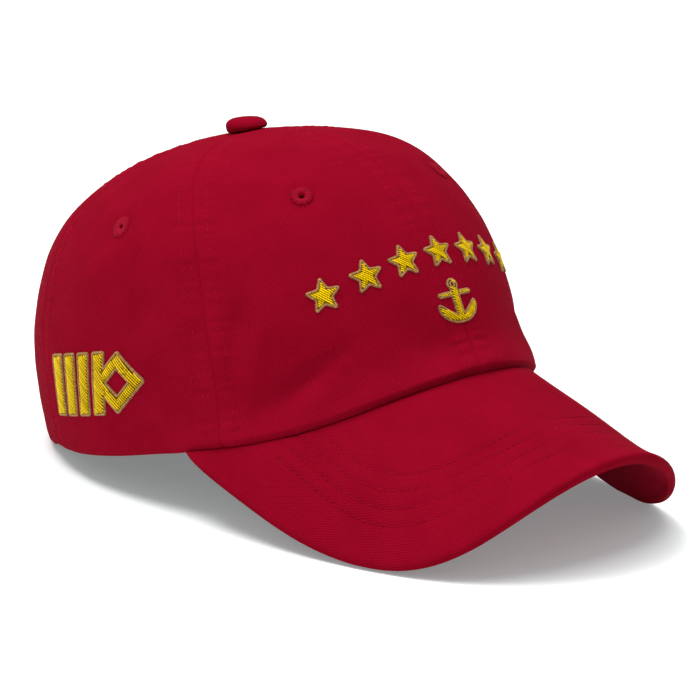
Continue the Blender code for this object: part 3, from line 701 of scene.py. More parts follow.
def stitch_row(line, normals):
    """Stitches along a line of points: their paths and normals."""
    at = running_length(line, 0)
    count = int((at[-1] - STITCH_LENGTH) / STITCH_PITCH)
    starts = (np.arange(count) * STITCH_PITCH)[:, None]
    where = starts + np.linspace(0, STITCH_LENGTH, len(STITCH_SINK))[None, :]
    spots = np.stack([np.interp(where, at, line[:, k]) for k in range(3)], axis=-1)
    out = unit(np.stack([np.interp(where, at, normals[:, k]) for k in range(3)], axis=-1))
    return spots + STITCH_SINK[None, :, None] * out, out


def sew(name, rows, seed, darkest, lightest):
    """All the stitches of some rows as one piece, each with its own tone."""
    paths, outs = (np.concatenate(part) for part in zip(*rows))
    draw = random.Random(seed)
    tones = np.array([draw.uniform(darkest, lightest) for _ in paths])
    piece = threads(name, paths, outs, STITCH_RADIUS, STITCH_RADIUS, red_thread, tones)
    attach(piece, "root")


def beside_seam(panel, end):
    """The line of a panel's points that lie a stitch row away from one of its seams, and their normals."""
    distance = panel["from_seams"][end]
    # Columns are taken from the seam inward, so that the distance grows along them
    order = slice(None) if end == 0 else slice(None, None, -1)
    columns = np.arange(distance.shape[1])[order].astype(float)
    line, out = [], []
    for row in range(len(distance)):
        if panel["rise"][row, 0] <= SEAM_ROW_START or panel["share"][row, 0] >= SEAM_ROW_END:
            continue
        column = np.interp(SEAM_ROW, distance[row, order], columns)
        low = int(column)
        part = column - low
        line.append(panel["points"][row, low] * (1 - part) + panel["points"][row, low + 1] * part)
        out.append(panel["normals"][row, low])
    return np.array(line), np.array(out)


def beside_arch():
    """The line of cloth points a stitch row away from the arched opening, and their normals."""
    turns = np.linspace(0.02, math.pi - 0.02, 160)
    wide = (ARCH_HALF_WIDTH + ARCH_ROW * MM) * np.cos(turns)
    high = (ARCH_HEIGHT + ARCH_ROW * MM) * np.sin(turns)
    phi, share = math.pi - wide / RIM_HALF_WIDTH, high / CROWN_HEIGHT
    for _ in range(12):
        point, along, up, _ = crown_frame(phi, share)
        here, along, up = standing(point), turned(along), turned(up)
        miss_x, miss_z = wide - here[..., 0], high - here[..., 2]
        scale = along[..., 0] * up[..., 2] - up[..., 0] * along[..., 2]
        phi = phi + (miss_x * up[..., 2] - miss_z * up[..., 0]) / scale
        share = share + (along[..., 0] * miss_z - along[..., 2] * miss_x) / scale
    point, _, _, normal = crown_frame(phi, share)
    point = point + (cloth_relief(point) + ARCH_ROW_LIFT)[..., None] * normal
    return standing(point), turned(normal)


# Dull polyester: a little livelier than the cotton round it, with plies that catch the light
red_thread = thread_material("red_polyester_thread", "86051d", "a60c2c", roughness=0.75, twist_mm=0.9)
seam_rows = []
for panel in panels.values():
    for end in (0, 1):
        line, out = beside_seam(panel, end)
        if panel["seams"][end] == "rear":
            # The rear seam starts over the arched opening
            above = line[:, 2] > REAR_ROW_START
            line, out = line[above], out[above]
        seam_rows.append(stitch_row(line, out))
seam_rows.append(stitch_row(*beside_arch()))
sew("crown_topstitching", seam_rows, seed=3, darkest=0.2, lightest=0.7)

# Eyelets: air holes punched through the cloth and bound with a ring of close buttonhole stitches. Each
# stitch is one thread that comes up out of the hole, lies over the cord inside and goes down again.
EYELET_STITCHES = 46
EYELET_INNER = 0.8 * MM
EYELET_OUTER = 4.5 * MM
EYELET_THREAD = (0.26 * MM, 0.22 * MM)
# Shares of the way out along a stitch, and its heights there in millimetres
EYELET_STATIONS = (0.0, 0.12, 0.4, 0.7, 0.92, 1.0)
EYELET_HEIGHTS = (-0.9, 0.1, 0.62, 0.55, 0.0, -0.45)
# The rings of the sides and back are pressed flatter by the wash
EYELET_RISE = {"front": 1.0, "side": 0.3, "back": 0.5}


def settle(target, angle, share):
    """Angles and shares of the crown points nearest to the targets, found from a starting place."""
    phi = np.full(target.shape[:-1], math.radians(angle))
    share = np.full(target.shape[:-1], share)
    for _ in range(8):
        point, along, up, _ = crown_frame(phi, share)
        miss = target - point
        miss_along, miss_up = (along * miss).sum(-1), (up * miss).sum(-1)
        along_square, up_square, both = (along * along).sum(-1), (up * up).sum(-1), (along * up).sum(-1)
        scale = along_square * up_square - both * both
        phi = phi + (miss_along * up_square - miss_up * both) / scale
        share = share + (miss_up * along_square - miss_along * both) / scale
    return phi, share


def lay_on_crown(flat, lift, angle, share, askew=None):
    """Flat places round a spot of the crown, laid on its cloth at a lift: points and normals."""
    point, along, _, normal = crown_frame(math.radians(angle), share)
    right = unit(along)
    up = np.cross(normal, right)
    u, v = flat[..., 0], flat[..., 1]
    if askew is not None:
        u, v = askew(u, v)
    target = point + u[..., None] * right + v[..., None] * up
    seat, _, _, out = crown_frame(*settle(target, angle, share))
    seat = seat + (cloth_relief(seat) + lift)[..., None] * out
    return standing(seat), turned(out)


stations = np.linspace(0, 1, 8)
for place_name, (angle, share) in EYELETS.items():
    for side_name, side in SIDES:
        name = "eyelet_" + place_name + "_" + side_name
        draw = random.Random(place_name + side_name)
        turns = np.arange(EYELET_STITCHES) + [draw.uniform(-0.12, 0.12) for _ in range(EYELET_STITCHES)]
        turns = turns * 2 * math.pi / EYELET_STITCHES
        outer = EYELET_OUTER + np.array([draw.uniform(-0.35, 0.2) for _ in range(EYELET_STITCHES)]) * MM
        radius = EYELET_INNER + (outer[:, None] - EYELET_INNER) * stations[None, :] ** 0.9
        flat = np.stack([radius * np.cos(turns)[:, None], radius * np.sin(turns)[:, None]], axis=-1)
        lift = np.interp(stations, EYELET_STATIONS, EYELET_HEIGHTS) * EYELET_RISE[place_name] * MM
        paths, outs = lay_on_crown(flat, np.broadcast_to(lift, radius.shape), side * angle, share)
        tones = np.array([draw.uniform(0.1, 0.5) for _ in range(EYELET_STITCHES)])
        ring = threads(name + "_ring", paths, outs, *EYELET_THREAD, red_thread, tones)
        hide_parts(name)
        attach(ring, "root")

# Covered button: a metal mould with a disc of the same twill pulled over it and gathered underneath.
# The gathers pucker its lower edge. It sits in the middle of the six seams, its top a little askew.
BUTTON_RADIUS = 7.7 * MM
BUTTON_HEIGHT = 5.2 * MM
BUTTON_GAP = 0.3 * MM
BUTTON_ASKEW = 0.14
BUTTON_CLOTH_EASE = 1.15
BUTTON_COLUMNS = 96
BUTTON_ROWS = 46
GATHERS = (11, 17, 26)
GATHER_DEPTH = 0.012
POLE_RADIUS = 0.02 * MM
# Radius and height as shares of the button's, from its top over its side to its underneath
BUTTON_PROFILE = np.array([
    (0.0, 1.0), (0.22, 0.99), (0.44, 0.965), (0.63, 0.92), (0.78, 0.84), (0.89, 0.73), (0.96, 0.60),
    (0.995, 0.45), (1.0, 0.31), (0.985, 0.19), (0.95, 0.10), (0.90, 0.04), (0.84, 0.0), (0.6, 0.0),
])


def close_ends(piece):
    """Close the open ends of a piece with faces, and turn all its faces outward."""
    shape = bmesh.new()
    shape.from_mesh(piece.data)
    bmesh.ops.holes_fill(shape, edges=shape.edges)
    bmesh.ops.recalc_face_normals(shape, faces=shape.faces)
    shape.to_mesh(piece.data)
    shape.free()


turns = np.arange(BUTTON_COLUMNS) * 2 * math.pi / BUTTON_COLUMNS
spots = np.linspace(0, len(BUTTON_PROFILE) - 1, BUTTON_ROWS)
ring_radius, ring_height = (
    np.interp(spots, np.arange(len(BUTTON_PROFILE)), BUTTON_PROFILE[:, k])[:, None] for k in (0, 1)
)
draw = random.Random(8)
gather = sum(np.sin(count * turns + draw.uniform(0, 6.3)) for count in GATHERS) / len(GATHERS)
gathered = smooth_step(ring_height, 0.75, 0.25) * (ring_radius > 0.7)
radius = BUTTON_RADIUS * (ring_radius + GATHER_DEPTH * gathered * gather)
askew = BUTTON_ASKEW * radius * np.sin(turns) * smooth_step(ring_height, 0.05, 0.5)
height = BUTTON_HEIGHT * ring_height + askew
local = np.stack([radius * np.cos(turns), radius * np.sin(turns), height], axis=-1)
local[0, :, :2] = POLE_RADIUS * np.stack([np.cos(turns), np.sin(turns)], axis=-1)
tilt = LEAN + math.atan(TOP_TILT)
apex = standing(crown_point(0.0, 1.0)) + BUTTON_GAP * np.array([0.0, math.sin(tilt), math.cos(tilt)])
points = turned(local, tilt) + apex
uv = local[..., :2] / MM * BUTTON_CLOTH_EASE
button = grid_piece("covered_button", points[::-1], uv[::-1], closed=True)
close_ends(button)
button.data.materials.append(twill)
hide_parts("top_button")
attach(button, "root")

# Peak: a curved board between two layers of the twill, sewn through in four arcs that follow its edge.
# The upper layer rolls over the edge, and the cap has been worn, so that its left is a little fuller.
PEAK_CORNER_WIDTH = 2.5 * MM
PEAK_CORNER_FLARE = 4.6 * MM
PEAK_CORNER_RUN = 15.0 * MM
PEAK_FRONT_HANDLE = 85.4 * MM
PEAK_SEAT_GAP = 0.5 * MM
PEAK_COLUMNS = 260
PEAK_ROWS = 104
# Stitched arcs in plan: half width, depth in front of their centre line, and squareness
PEAK_ARCS = ((55.3, 52.0, 2.5), (59.3, 57.2, 2.43), (62.9, 63.0, 2.37), (66.2, 69.4, 2.3))
ARC_CENTRE = -80.0 * MM
ARC_PULL = 0.20 * MM
PEAK_SWELLS = ((38.0, 0.12), (22.0, 0.04))
UNDERSIDE_SLACK = 0.6
# Edge section: inward from the edge and down from the upper face, in millimetres
EDGE_SECTION = np.array([
    (2.2, 0.0), (1.6, 0.04), (1.1, 0.16), (0.7, 0.38), (0.38, 0.70), (0.16, 1.08), (0.03, 1.5), (0.0, 1.95),
    (0.06, 2.4), (0.2, 2.82), (0.42, 3.2), (0.55, 3.42), (0.5, 3.6), (0.75, 3.88), (1.25, 4.1), (2.2, 4.2),
])
# How far the worn edge lies outside the part's, in millimetres: all round, at the corners, and then
# on the right and left sides and fronts
EDGE_FULLNESS = 0.25
CORNER_SHIFTS = {"right": -2.3, "left": -0.9}
SIDE_SHIFTS = {"right": -0.4, "left": 0.8}
FRONT_SHIFTS = {"right": 1.35, "left": 0.4}
# Height that wear has added on the left: over its middle, and along its edge, in millimetres
LEFT_FULLNESS = 2.1
LEFT_EDGE_FULLNESS = 0.3
EDGE_DARKENING = 1.2
# The cloth's length for each length in plan, front to back
CLOTH_PER_PLAN = 1.13
THINNEST_CORNER = 0.25
WIDEST_INSET = 0.3
EDGE_STEP = 0.04


def peak_outline(share):
    """Plan of the peak's outer edge, share 0 at a corner and 1 at the middle of the front."""
    x, y = (float(value) for value in rim_outline(math.radians(PEAK_CORNER)))
    start = np.array([x + PEAK_CORNER_WIDTH, y])
    reach = -(RIM_FRONT_REACH + PEAK_REACH)
    side = start + np.array([PEAK_CORNER_FLARE, -PEAK_CORNER_RUN])
    s = np.asarray(share)[..., None]
    front, middle = np.array([PEAK_FRONT_HANDLE, reach]), np.array([0.0, reach])
    near_corner = (1 - s) ** 3 * start + 3 * s * (1 - s) ** 2 * side
    return near_corner + 3 * s ** 2 * (1 - s) * front + s ** 3 * middle


def edge_shift(share, across):
    """How far the worn edge lies outside the part's, in millimetres: it is skewed to the left."""
    corner = np.exp(-(share / 0.17) ** 1.3)
    side = smooth_step(share, 0.05, 0.3)
    right = CORNER_SHIFTS["right"] * corner + FRONT_SHIFTS["right"] * smooth_step(share, 0.52, 0.74)
    right = right + SIDE_SHIFTS["right"] * side * (1 - smooth_step(share, 0.45, 0.6))
    left = CORNER_SHIFTS["left"] * corner + FRONT_SHIFTS["left"] * smooth_step(share, 0.8, 1.0)
    left = left + SIDE_SHIFTS["left"] * side
    return EDGE_FULLNESS + np.where(across < 0, right, left)


def peak_plan(across, out):
    """Plan of the peak's upper face: across from -1 to 1, out from the crown (0) to the edge (1)."""
    phi = math.radians(PEAK_CORNER) * across
    x, y = rim_outline(phi)
    x_next, y_next = rim_outline(phi + 0.001)
    x_last, y_last = rim_outline(phi - 0.001)
    way = unit(np.stack([x_next - x_last, y_next - y_last], axis=-1))
    inner_x, inner_y = x + PEAK_SEAT_GAP * way[..., 1], y - PEAK_SEAT_GAP * way[..., 0]
    share = 1 - np.abs(across)
    edge_way = unit(peak_outline(share + 0.001) - peak_outline(share - 0.001))
    outward = np.stack([-edge_way[..., 1], edge_way[..., 0]], axis=-1)
    edge = peak_outline(share) + MM * edge_shift(share, across)[..., None] * outward
    outer_x = np.sign(across) * edge[..., 0]
    return inner_x + (outer_x - inner_x) * out, inner_y + (edge[..., 1] - inner_y) * out


def worn_top(x, y):
    """Points of the upper face as worn: a little fuller and less steep on the wearer's left."""
    fuller = LEFT_FULLNESS * bump(x / MM, 37.0, 15.0) * bump(y / MM, -122.0, 22.0)
    fuller = fuller + LEFT_EDGE_FULLNESS * smooth_step(x / MM, 64.0, 75.0)
    return np.stack([x, y, peak_height(x, y) + MM * fuller], axis=-1)


def arc_distance(x, y, arc):
    """Signed distance in plan, roughly, from a stitched arc, in millimetres."""
    width, depth, square = arc
    depth_now = np.maximum(ARC_CENTRE - y, 0.0)
    measure = ((np.abs(x) / (width * MM)) ** square + (depth_now / (depth * MM)) ** square) ** (1 / square)
    return np.hypot(x, depth_now) / MM * (1 - 1 / np.maximum(measure, 1e-6))


across = np.linspace(-1, 1, PEAK_COLUMNS + 1)[None, :]
across = across + 0.015 * np.sin(2 * math.pi * across)
taper = np.maximum(peak_taper(math.radians(PEAK_CORNER) * across), THINNEST_CORNER)
# The section's width as a share of the way out from the crown
edge_x, edge_y = peak_plan(across, np.ones_like(across))
near_x, near_y = peak_plan(across, np.full_like(across, 1 - EDGE_STEP))
way_out = np.hypot(edge_x - near_x, edge_y - near_y) / EDGE_STEP
inset = np.minimum(EDGE_SECTION[0, 0] * MM / way_out, WIDEST_INSET)
# The grid runs out along the upper face, round the edge and back along the underside
top = np.linspace(0, 1, PEAK_ROWS + 1)[:, None]
underside = top[-2::-1]
rolled = EDGE_SECTION[1:, :1] / EDGE_SECTION[0, 0]
out = np.concatenate([(1 - inset) * top, 1 - inset * rolled, (1 - inset) * underside])
drop = taper * np.concatenate([0 * top, EDGE_SECTION[1:, 1:] * MM, 0 * underside + PEAK_THICKNESS])
row = np.arange(len(out))[:, None]
on_top, beneath = row < len(top), row >= len(out) - len(underside)
x, y = peak_plan(np.broadcast_to(across, out.shape), out)
relief = waves(np.stack([x, y, np.zeros_like(x)], axis=-1), 17, PEAK_SWELLS)
for arc in PEAK_ARCS:
    relief -= ARC_PULL * bump(arc_distance(x, y, arc), 0.0, 0.65)
relief *= np.minimum(1.0, (1 - out) / 0.03) * on_top + UNDERSIDE_SLACK * beneath
sunk = relief * np.where(beneath, -1, 1) - drop
points = standing(worn_top(x, y) + sunk[..., None] * peak_normal(x, y))
points[..., 2] = np.maximum(points[..., 2], 0.0)
# Cloth coordinates run with the arch, so that the ribs keep their spacing over it
line = np.linspace(-0.1, 0.1, 401)
arched = running_length(np.stack([line, peak_height(line, -0.13)], axis=-1), 0)
uv = np.stack([np.interp(x, line, arched - arched[200]), drop - CLOTH_PER_PLAN * y], axis=-1) / MM
# The peak's relief is painted into its colour: darker in the stitch grooves, which is painted shade, and
# paler on its swells, partly wear and partly painted highlight. The rolled edge is made a little darker.
peak_wear_and_shade = relief / MM - EDGE_DARKENING * smooth_step(drop / MM, 0.1, 1.2) * ~beneath
peak = grid_piece("curved_peak", points[:, ::-1], uv[:, ::-1], wear_and_shade=peak_wear_and_shade[:, ::-1])
close_ends(peak)
peak.data.materials.append(twill)
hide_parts("peak")
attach(peak, "root")

# Stitching of the peak: the same red thread, in four arcs that go through the board. It shows on both
# faces, and runs back beside the crown as far as the peak does.
ARC_LEG = 50.0 * MM
TOP_SINK = 0.13 * MM
UNDER_SINK = 0.15 * MM
ARC_CLEARANCE = 3.0 * MM
arc_rows = []
for width, depth, square in PEAK_ARCS:
    turns = np.linspace(0.0, math.pi, 400)
    legs = np.linspace(ARC_CENTRE + ARC_LEG, ARC_CENTRE, 60)[:-1]
    x = width * MM * signed_power(np.cos(turns), 2 / square)
    y = ARC_CENTRE - depth * MM * np.abs(np.sin(turns)) ** (2 / square)
    x = np.concatenate([np.full_like(legs, width * MM), x, np.full_like(legs, -width * MM)])
    y = np.concatenate([legs, y, legs[::-1]])
    rim_x = RIM_HALF_WIDTH * (1 - np.clip(np.abs(y) / RIM_FRONT_REACH, 0, 1) ** 2) ** 0.5
    outside = (np.abs(x) > rim_x + ARC_CLEARANCE) | (y < -RIM_FRONT_REACH)
    x, y = x[outside], y[outside]
    up = peak_normal(x, y)
    arc_rows.append(stitch_row(standing(worn_top(x, y) - TOP_SINK * up), turned(up)))
    arc_rows.append(stitch_row(standing(worn_top(x, y) - (PEAK_THICKNESS - UNDER_SINK) * up), -turned(up)))
sew("peak_stitching", arc_rows, seed=4, darkest=0.1, lightest=0.6)

# Stars: seven plain ones in an arch over the front, in padded satin stitch of bright yellow rayon edged
# with a corded row of tan thread. The satin slants down to the right, over a deeper layer that fills its
# gaps and is coloured dark, as painted shade between the top threads. Its threads lie 0.74 mm apart: real
# ones lie closer, and wouldn't show in the render.
SATIN_PITCH = 0.74 * MM
SATIN_SLANT = math.radians(-42.0)
SATIN_LONGEST = 13.0 * MM
SATIN_SHORTEST = 0.5 * MM
SATIN_THREAD = (0.27 * MM, 0.24 * MM)
# Layers of satin: inset as a share of the edging's width, first thread as a share of the pitch, and
# depth in millimetres
SATIN_LAYERS = ((1.0, 0.5, 0.0), (0.7, 0.0, 0.45))
# Tones of the top threads, and the dark tone of the deeper layer, which is painted shade between them
SATIN_TONES = (0.6, 1.0)
UNDER_LAYER_SHADE_TONE = 0.1
# Height of the satin over the cloth, in millimetres: wide runs are padded more than narrow ones
SATIN_LIFT = 0.22
PADDING_LEAST = 0.30
PADDING_GROWTH = 0.06
PADDING_MOST = 0.55
THREAD_END_DIP = 0.10
THREAD_UNEVEN = 0.04
EDGING_WIDTH = 0.95 * MM
EDGING_PITCH = 0.36 * MM
EDGING_SLANT = 0.5 * MM
EDGING_THREAD = (0.22 * MM, 0.18 * MM)
EDGING_LIFT = 0.05 * MM
EDGING_HEIGHT = 0.48 * MM
STAR_POINTS = 5
STAR_RADIUS = 7.6 * MM
STAR_WAIST = 0.46
STAR_ANGLES = (-38.5, -25.6, -12.8, 0.0, 12.8, 25.6, 38.5)
STAR_SHARE = 0.372
STAR_ARCH_DROP = 0.038


def inward(outline, depth):
    """An outline moved to its left by a depth, with mitred corners."""
    before, after = np.roll(outline, 1, axis=0), np.roll(outline, -1, axis=0)
    edge_in, edge_out = unit(outline - before), unit(after - outline)
    normal_in = np.stack([-edge_in[:, 1], edge_in[:, 0]], axis=1)
    normal_out = np.stack([-edge_out[:, 1], edge_out[:, 0]], axis=1)
    spread = 1 + (normal_in * normal_out).sum(axis=1, keepdims=True)
    return outline + depth * (normal_in + normal_out) / np.maximum(spread, 0.3)


def wound(outline, left):
    """An outline that runs with its inside on its left, or on its right."""
    points = np.array(outline, dtype=float)
    after = np.roll(points, -1, axis=0)
    area = (points[:, 0] * after[:, 1] - points[:, 1] * after[:, 0]).sum()
    return points if (area > 0) == left else points[::-1]


def satin_lines(outlines, seed, pitch, first):
    """Slanted threads that fill the outlines: their ends, their shares of a run, and the run's length."""
    draw = random.Random(seed)
    along = np.array([math.cos(SATIN_SLANT), math.sin(SATIN_SLANT)])
    aside = np.array([-along[1], along[0]])
    level = np.concatenate([line @ aside for line in outlines])
    lines, shares = [], []
    for offset in np.arange(level.min() + pitch * first, level.max(), pitch):
        crossings = []
        for line in outlines:
            after = np.roll(line, -1, axis=0)
            here, there = line @ aside - offset, after @ aside - offset
            for k in np.nonzero(here * there < 0)[0]:
                part = here[k] / (here[k] - there[k])
                crossings.append(float((line[k] + (after[k] - line[k]) * part) @ along))
        crossings.sort()
        for start, end in zip(crossings[::2], crossings[1::2]):
            if end - start < SATIN_SHORTEST:
                continue
            # Long runs are split, at a place that differs from thread to thread
            parts = max(1, math.ceil((end - start) / SATIN_LONGEST))
            cuts = [(k + draw.uniform(-0.25, 0.25)) / parts for k in range(1, parts)]
            for left, right in zip([0.0, *cuts], [*cuts, 1.0]):
                ends = [along * (start + (end - start) * cut) + aside * offset for cut in (left, right)]
                lines.append(ends)
                shares.append((left, right, end - start))
    return np.array(lines), np.array(shares)


def satin_layer(seed, outlines, pitch, first, depth, draw):
    """Flat places, heights and tones of one layer of satin: rounded across each run."""
    along = np.linspace(0, 1, 9)
    ends, shares = satin_lines(outlines, seed, pitch, first)
    flat = ends[:, :1] + (ends[:, 1:] - ends[:, :1]) * along[None, :, None]
    whole = shares[:, :1] + (shares[:, 1:2] - shares[:, :1]) * along[None, :]
    padding = np.minimum(PADDING_LEAST + PADDING_GROWTH * shares[:, 2:] / MM, PADDING_MOST)
    padding = padding * np.sin(math.pi * np.clip(whole, 0, 1)) ** 0.5
    dip = THREAD_END_DIP * (bump(along, 0, 0.06) + bump(along, 1, 0.06))[None, :]
    uneven = np.array([draw.uniform(-THREAD_UNEVEN, THREAD_UNEVEN) for _ in ends])[:, None]
    tones = [draw.uniform(*SATIN_TONES) if depth == 0.0 else UNDER_LAYER_SHADE_TONE for _ in ends]
    return flat, (SATIN_LIFT + padding - dip + uneven - depth) * MM, tones


def edging_spots(outline):
    """Even places along an outline with its corners rounded, and the ways on and to the side there."""
    loop = np.concatenate([outline, outline[:1]])
    at = running_length(loop, 0)
    count = int(at[-1] / EDGING_PITCH)
    where = np.arange(count) * at[-1] / count
    spots = np.stack([np.interp(where, at, loop[:, k]) for k in (0, 1)], axis=1)
    rounded = sum(np.roll(spots, shift, axis=0) for shift in range(-2, 3)) / 5
    way = unit(np.roll(rounded, -1, axis=0) - np.roll(rounded, 1, axis=0))
    return rounded, way, np.stack([-way[:, 1], way[:, 0]], axis=1)


def embroider(name, outlines, angle, share, edging_width=EDGING_WIDTH, pitch=SATIN_PITCH, askew=None):
    """One motif: its yellow satin, which stands for the part's node, and its tan edging."""
    draw = random.Random(name)
    outlines = [wound(line, k == 0) for k, line in enumerate(outlines)]
    layers = []
    for inset, first, depth in SATIN_LAYERS:
        inner = [inward(line, edging_width * inset) for line in outlines]
        layers.append(satin_layer(name, inner, pitch, first, depth, draw))
    flat, lift, tones = (np.concatenate(part) for part in zip(*layers))
    paths, outs = lay_on_crown(flat, lift, angle, share, askew)
    satin = threads(name + "_satin", paths, outs, *SATIN_THREAD, yellow_thread, tones)
    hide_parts(name)
    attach(satin, "root")

    spots = [edging_spots(inward(line, edging_width / 2)) for line in outlines]
    middles, ways, asides = (np.concatenate(part)[:, None] for part in zip(*spots))
    over = np.linspace(-0.5, 0.5, 6)
    flat = middles + over[None, :, None] * (edging_width * asides + EDGING_SLANT * ways)
    lift = EDGING_LIFT + EDGING_HEIGHT * np.abs(np.cos(math.pi * over)) ** 0.6
    lift = np.broadcast_to(lift, flat.shape[:2])
    paths, outs = lay_on_crown(flat, lift, angle, share, askew)
    tones = np.array([draw.uniform(0.2, 0.9) for _ in middles])
    edging = threads(name + "_edging", paths, outs, *EDGING_THREAD, tan_thread, tones)
    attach(edging, "root")


# Rayon: bright and silky, its deepest tones given to the deeper layer as painted shade between its
# threads; the tan one is duller
yellow_thread = thread_material(
    "yellow_rayon_embroidery_thread", "5c3a00", "ffd80c", roughness=0.45, twist_mm=1.1
)
tan_thread = thread_material("tan_embroidery_thread", "74502c", "b98f5c", roughness=0.6, twist_mm=0.8)
star = []
for corner in range(2 * STAR_POINTS):
    reach = STAR_RADIUS if corner % 2 == 0 else STAR_RADIUS * STAR_WAIST
    turn = math.radians(90 + 180 / STAR_POINTS * corner)
    star.append((reach * math.cos(turn), reach * math.sin(turn)))
for index, angle in enumerate(STAR_ANGLES, start=1):
    share = STAR_SHARE - STAR_ARCH_DROP * (angle / STAR_ANGLES[-1]) ** 2
    embroider("star_" + str(index), [star], angle, share)

# Anchor: one piece of the same satin under the stars, over the middle seam. It has a shank with a
# stock and a ring above, and two arms below, and its edging is finer. It is drawn for a height of 1.
ANCHOR_HEIGHT = 16.6 * MM
ANCHOR_SHARE = 0.232
ANCHOR_EDGING = 0.62 * MM
SHANK = 0.115
RING_CENTRE = (0.0, 0.355)


def arc_points(centre, radius, start, end, steps):
    turns = np.radians(np.linspace(start, end, steps))
    return [(centre[0] + radius * math.cos(a), centre[1] + radius * math.sin(a)) for a in turns]


arm = [(0.0, -0.5), (0.16, -0.49), (0.31, -0.44), (0.44, -0.355), (0.53, -0.245), (0.57, -0.13)]
arm += [(0.525, 0.0), (0.41, -0.075), (0.27, -0.19), (SHANK, -0.285)]
stock = [(SHANK, 0.10), (0.47, 0.10), (0.47, 0.215), (0.10, 0.215)]
right_half = arm + stock
left_half = [(-u, v) for u, v in reversed(right_half)][:-1]
outline = right_half + arc_points(RING_CENTRE, 0.145, -46, 226, 15) + left_half
hole = arc_points(RING_CENTRE, 0.045, 0, 330, 12)
anchor = [np.array(line) * ANCHOR_HEIGHT for line in (outline, hole)]
embroider("anchor", anchor, 0.0, ANCHOR_SHARE, edging_width=ANCHOR_EDGING)

# Rank insignia on the wearer's right: four upright bars, the last one joined to an open diamond, in the
# same satin. Its threads lie a little further apart than those of the stars.
RANK_ANGLE = -100.5
RANK_SHARE = 0.166
RANK_TURN = math.radians(4.0)
RANK_LEAN = math.radians(5.0)
RANK_PITCH = 0.92 * MM
RANK_HEIGHT = 23.8 * MM
BARS = 4
BAR_WIDTH = 8.5 * MM
BAR_NARROWING = 0.25 * MM
BAR_PITCH = 10.3 * MM
DIAMOND_WIDTH = 29.6 * MM
DIAMOND_OVERLAP = 7.4 * MM
DIAMOND_OPENING = 0.39


def rank_askew(u, v):
    """The insignia leans a little, on cloth that lies flatter there than the plain crown."""
    across = u * math.cos(RANK_TURN) + v * math.sin(RANK_LEAN)
    up = u * math.sin(RANK_TURN) + v * math.cos(RANK_LEAN)
    flatter = 1.5 - 2.2 * smooth_step(across / MM, -28.0, 12.0) + 1.3 * smooth_step(across / MM, 12.0, 34.0)
    return across + MM * flatter, up


half_height, half_diamond = RANK_HEIGHT / 2, DIAMOND_WIDTH / 2
rank_width = BAR_PITCH * (BARS - 1) + BAR_WIDTH + DIAMOND_WIDTH - DIAMOND_OVERLAP
for index in range(BARS):
    left = -rank_width / 2 + BAR_PITCH * index
    right = left + BAR_WIDTH - BAR_NARROWING * index
    name = "rank_bar_" + str(index + 1)
    outlines = [[(left, -half_height), (right, -half_height), (right, half_height), (left, half_height)]]
    if index == BARS - 1:
        name = "rank_bar_and_diamond"
        centre = right - DIAMOND_OVERLAP + half_diamond
        meet = half_height * DIAMOND_OVERLAP / half_diamond
        diamond = [(right, -meet), (centre, -half_height), (centre + half_diamond, 0)]
        diamond += [(centre, half_height), (right, meet)]
        outlines[0][2:2] = diamond
        wide, high = half_diamond * DIAMOND_OPENING, half_height * DIAMOND_OPENING
        outlines.append([(centre - wide, 0), (centre, high), (centre + wide, 0), (centre, -high)])
    embroider(name, outlines, RANK_ANGLE, RANK_SHARE, pitch=RANK_PITCH, askew=rank_askew)

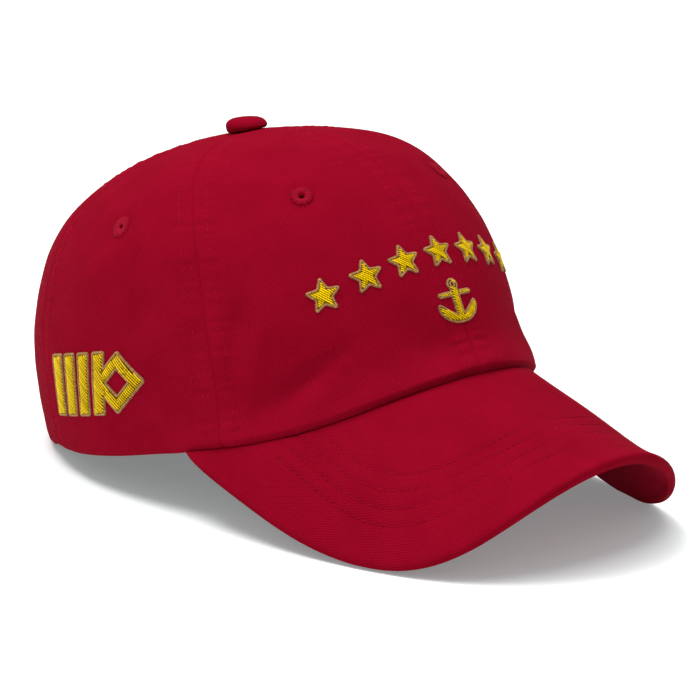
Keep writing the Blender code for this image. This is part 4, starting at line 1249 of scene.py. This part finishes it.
# Back strap: a doubled band of the twill that closes the arched opening. It is stitched along both its
# edges, and sewn to the inside of the back panels at both ends.
STRAP_RISE = 5.5 * MM
STRAP_HEIGHT = 18.0 * MM
STRAP_WALL = 1.8 * MM
STRAP_TUCK = 12.0 * MM
STRAP_SETBACK = 0.4 * MM
STRAP_SWELLS = ((30.0, 0.25), (17.0, 0.1))
STRAP_EDGE_ROLL = 0.35
STRAP_ROW_PULL = 0.18
STRAP_COLUMNS = 140
STRAP_ROWS = 24
STRAP_STITCHED = (3, 21)
strap_angle = math.asin(ARCH_HALF_WIDTH / RIM_HALF_WIDTH) + STRAP_TUCK / RIM_HALF_WIDTH
level = np.linspace(0, 1, STRAP_ROWS + 1)[:, None]
phi = math.pi + strap_angle * np.linspace(-1, 1, STRAP_COLUMNS + 1)[None, :] + 0 * level
share = (STRAP_RISE + level * STRAP_HEIGHT) / (3 * profile("rise", phi) * CROWN_HEIGHT)
point, _, _, normal = crown_frame(phi, share)
point = point - (PANEL_WALL + STRAP_SETBACK) * normal
dip = STRAP_EDGE_ROLL * (bump(level, 0.0, 0.03) + bump(level, 1.0, 0.03))
dip += STRAP_ROW_PULL * (bump(level, 0.12, 0.03) + bump(level, 0.88, 0.03))
placed = standing(point + (waves(point, 31, STRAP_SWELLS) - dip * MM)[..., None] * normal)
run = running_length(placed, 1)
uv = np.stack([run, np.broadcast_to(level * STRAP_HEIGHT, run.shape)], axis=-1) / MM
strap = grid_piece("back_strap_band", placed, uv)
strap.data.materials.append(twill)
finish_modifier(strap, "SOLIDIFY", thickness=STRAP_WALL, offset=-1.0)
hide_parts("back_strap")
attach(strap, "root")
strap_rows = [stitch_row(placed[row], turned(normal[row])) for row in STRAP_STITCHED]
sew("strap_stitching", strap_rows, seed=5, darkest=0.4, lightest=0.4)

# Slide buckle: one stamped piece of brass on the strap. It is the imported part's own mesh, with a brushed
# finish whose fine scratches run across it.
SCRATCHES_PER_MM = (0.06, 0.06, 2.6)
brass, tree, shader = new_material("brushed_brass")
shader.inputs["Base Color"].default_value = linear("b08d4a")
shader.inputs["Metallic"].default_value = 1.0
shader.inputs["Roughness"].default_value = 0.34
place = node(tree, "TexCoord", {}, output=3)
stretched = node(tree, "Mapping", {"Vector": place, "Scale": [count / MM for count in SCRATCHES_PER_MM]})
brushing = node(tree, "TexNoise", {"Vector": stretched, "Scale": 1.0, "Detail": 3.0})
relief = node(tree, "Bump", {"Height": brushing, "Strength": 0.25, "Distance": 0.02 * MM})
tree.links.new(relief, shader.inputs["Normal"])
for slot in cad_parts["strap_buckle"].material_slots:
    slot.material = brass
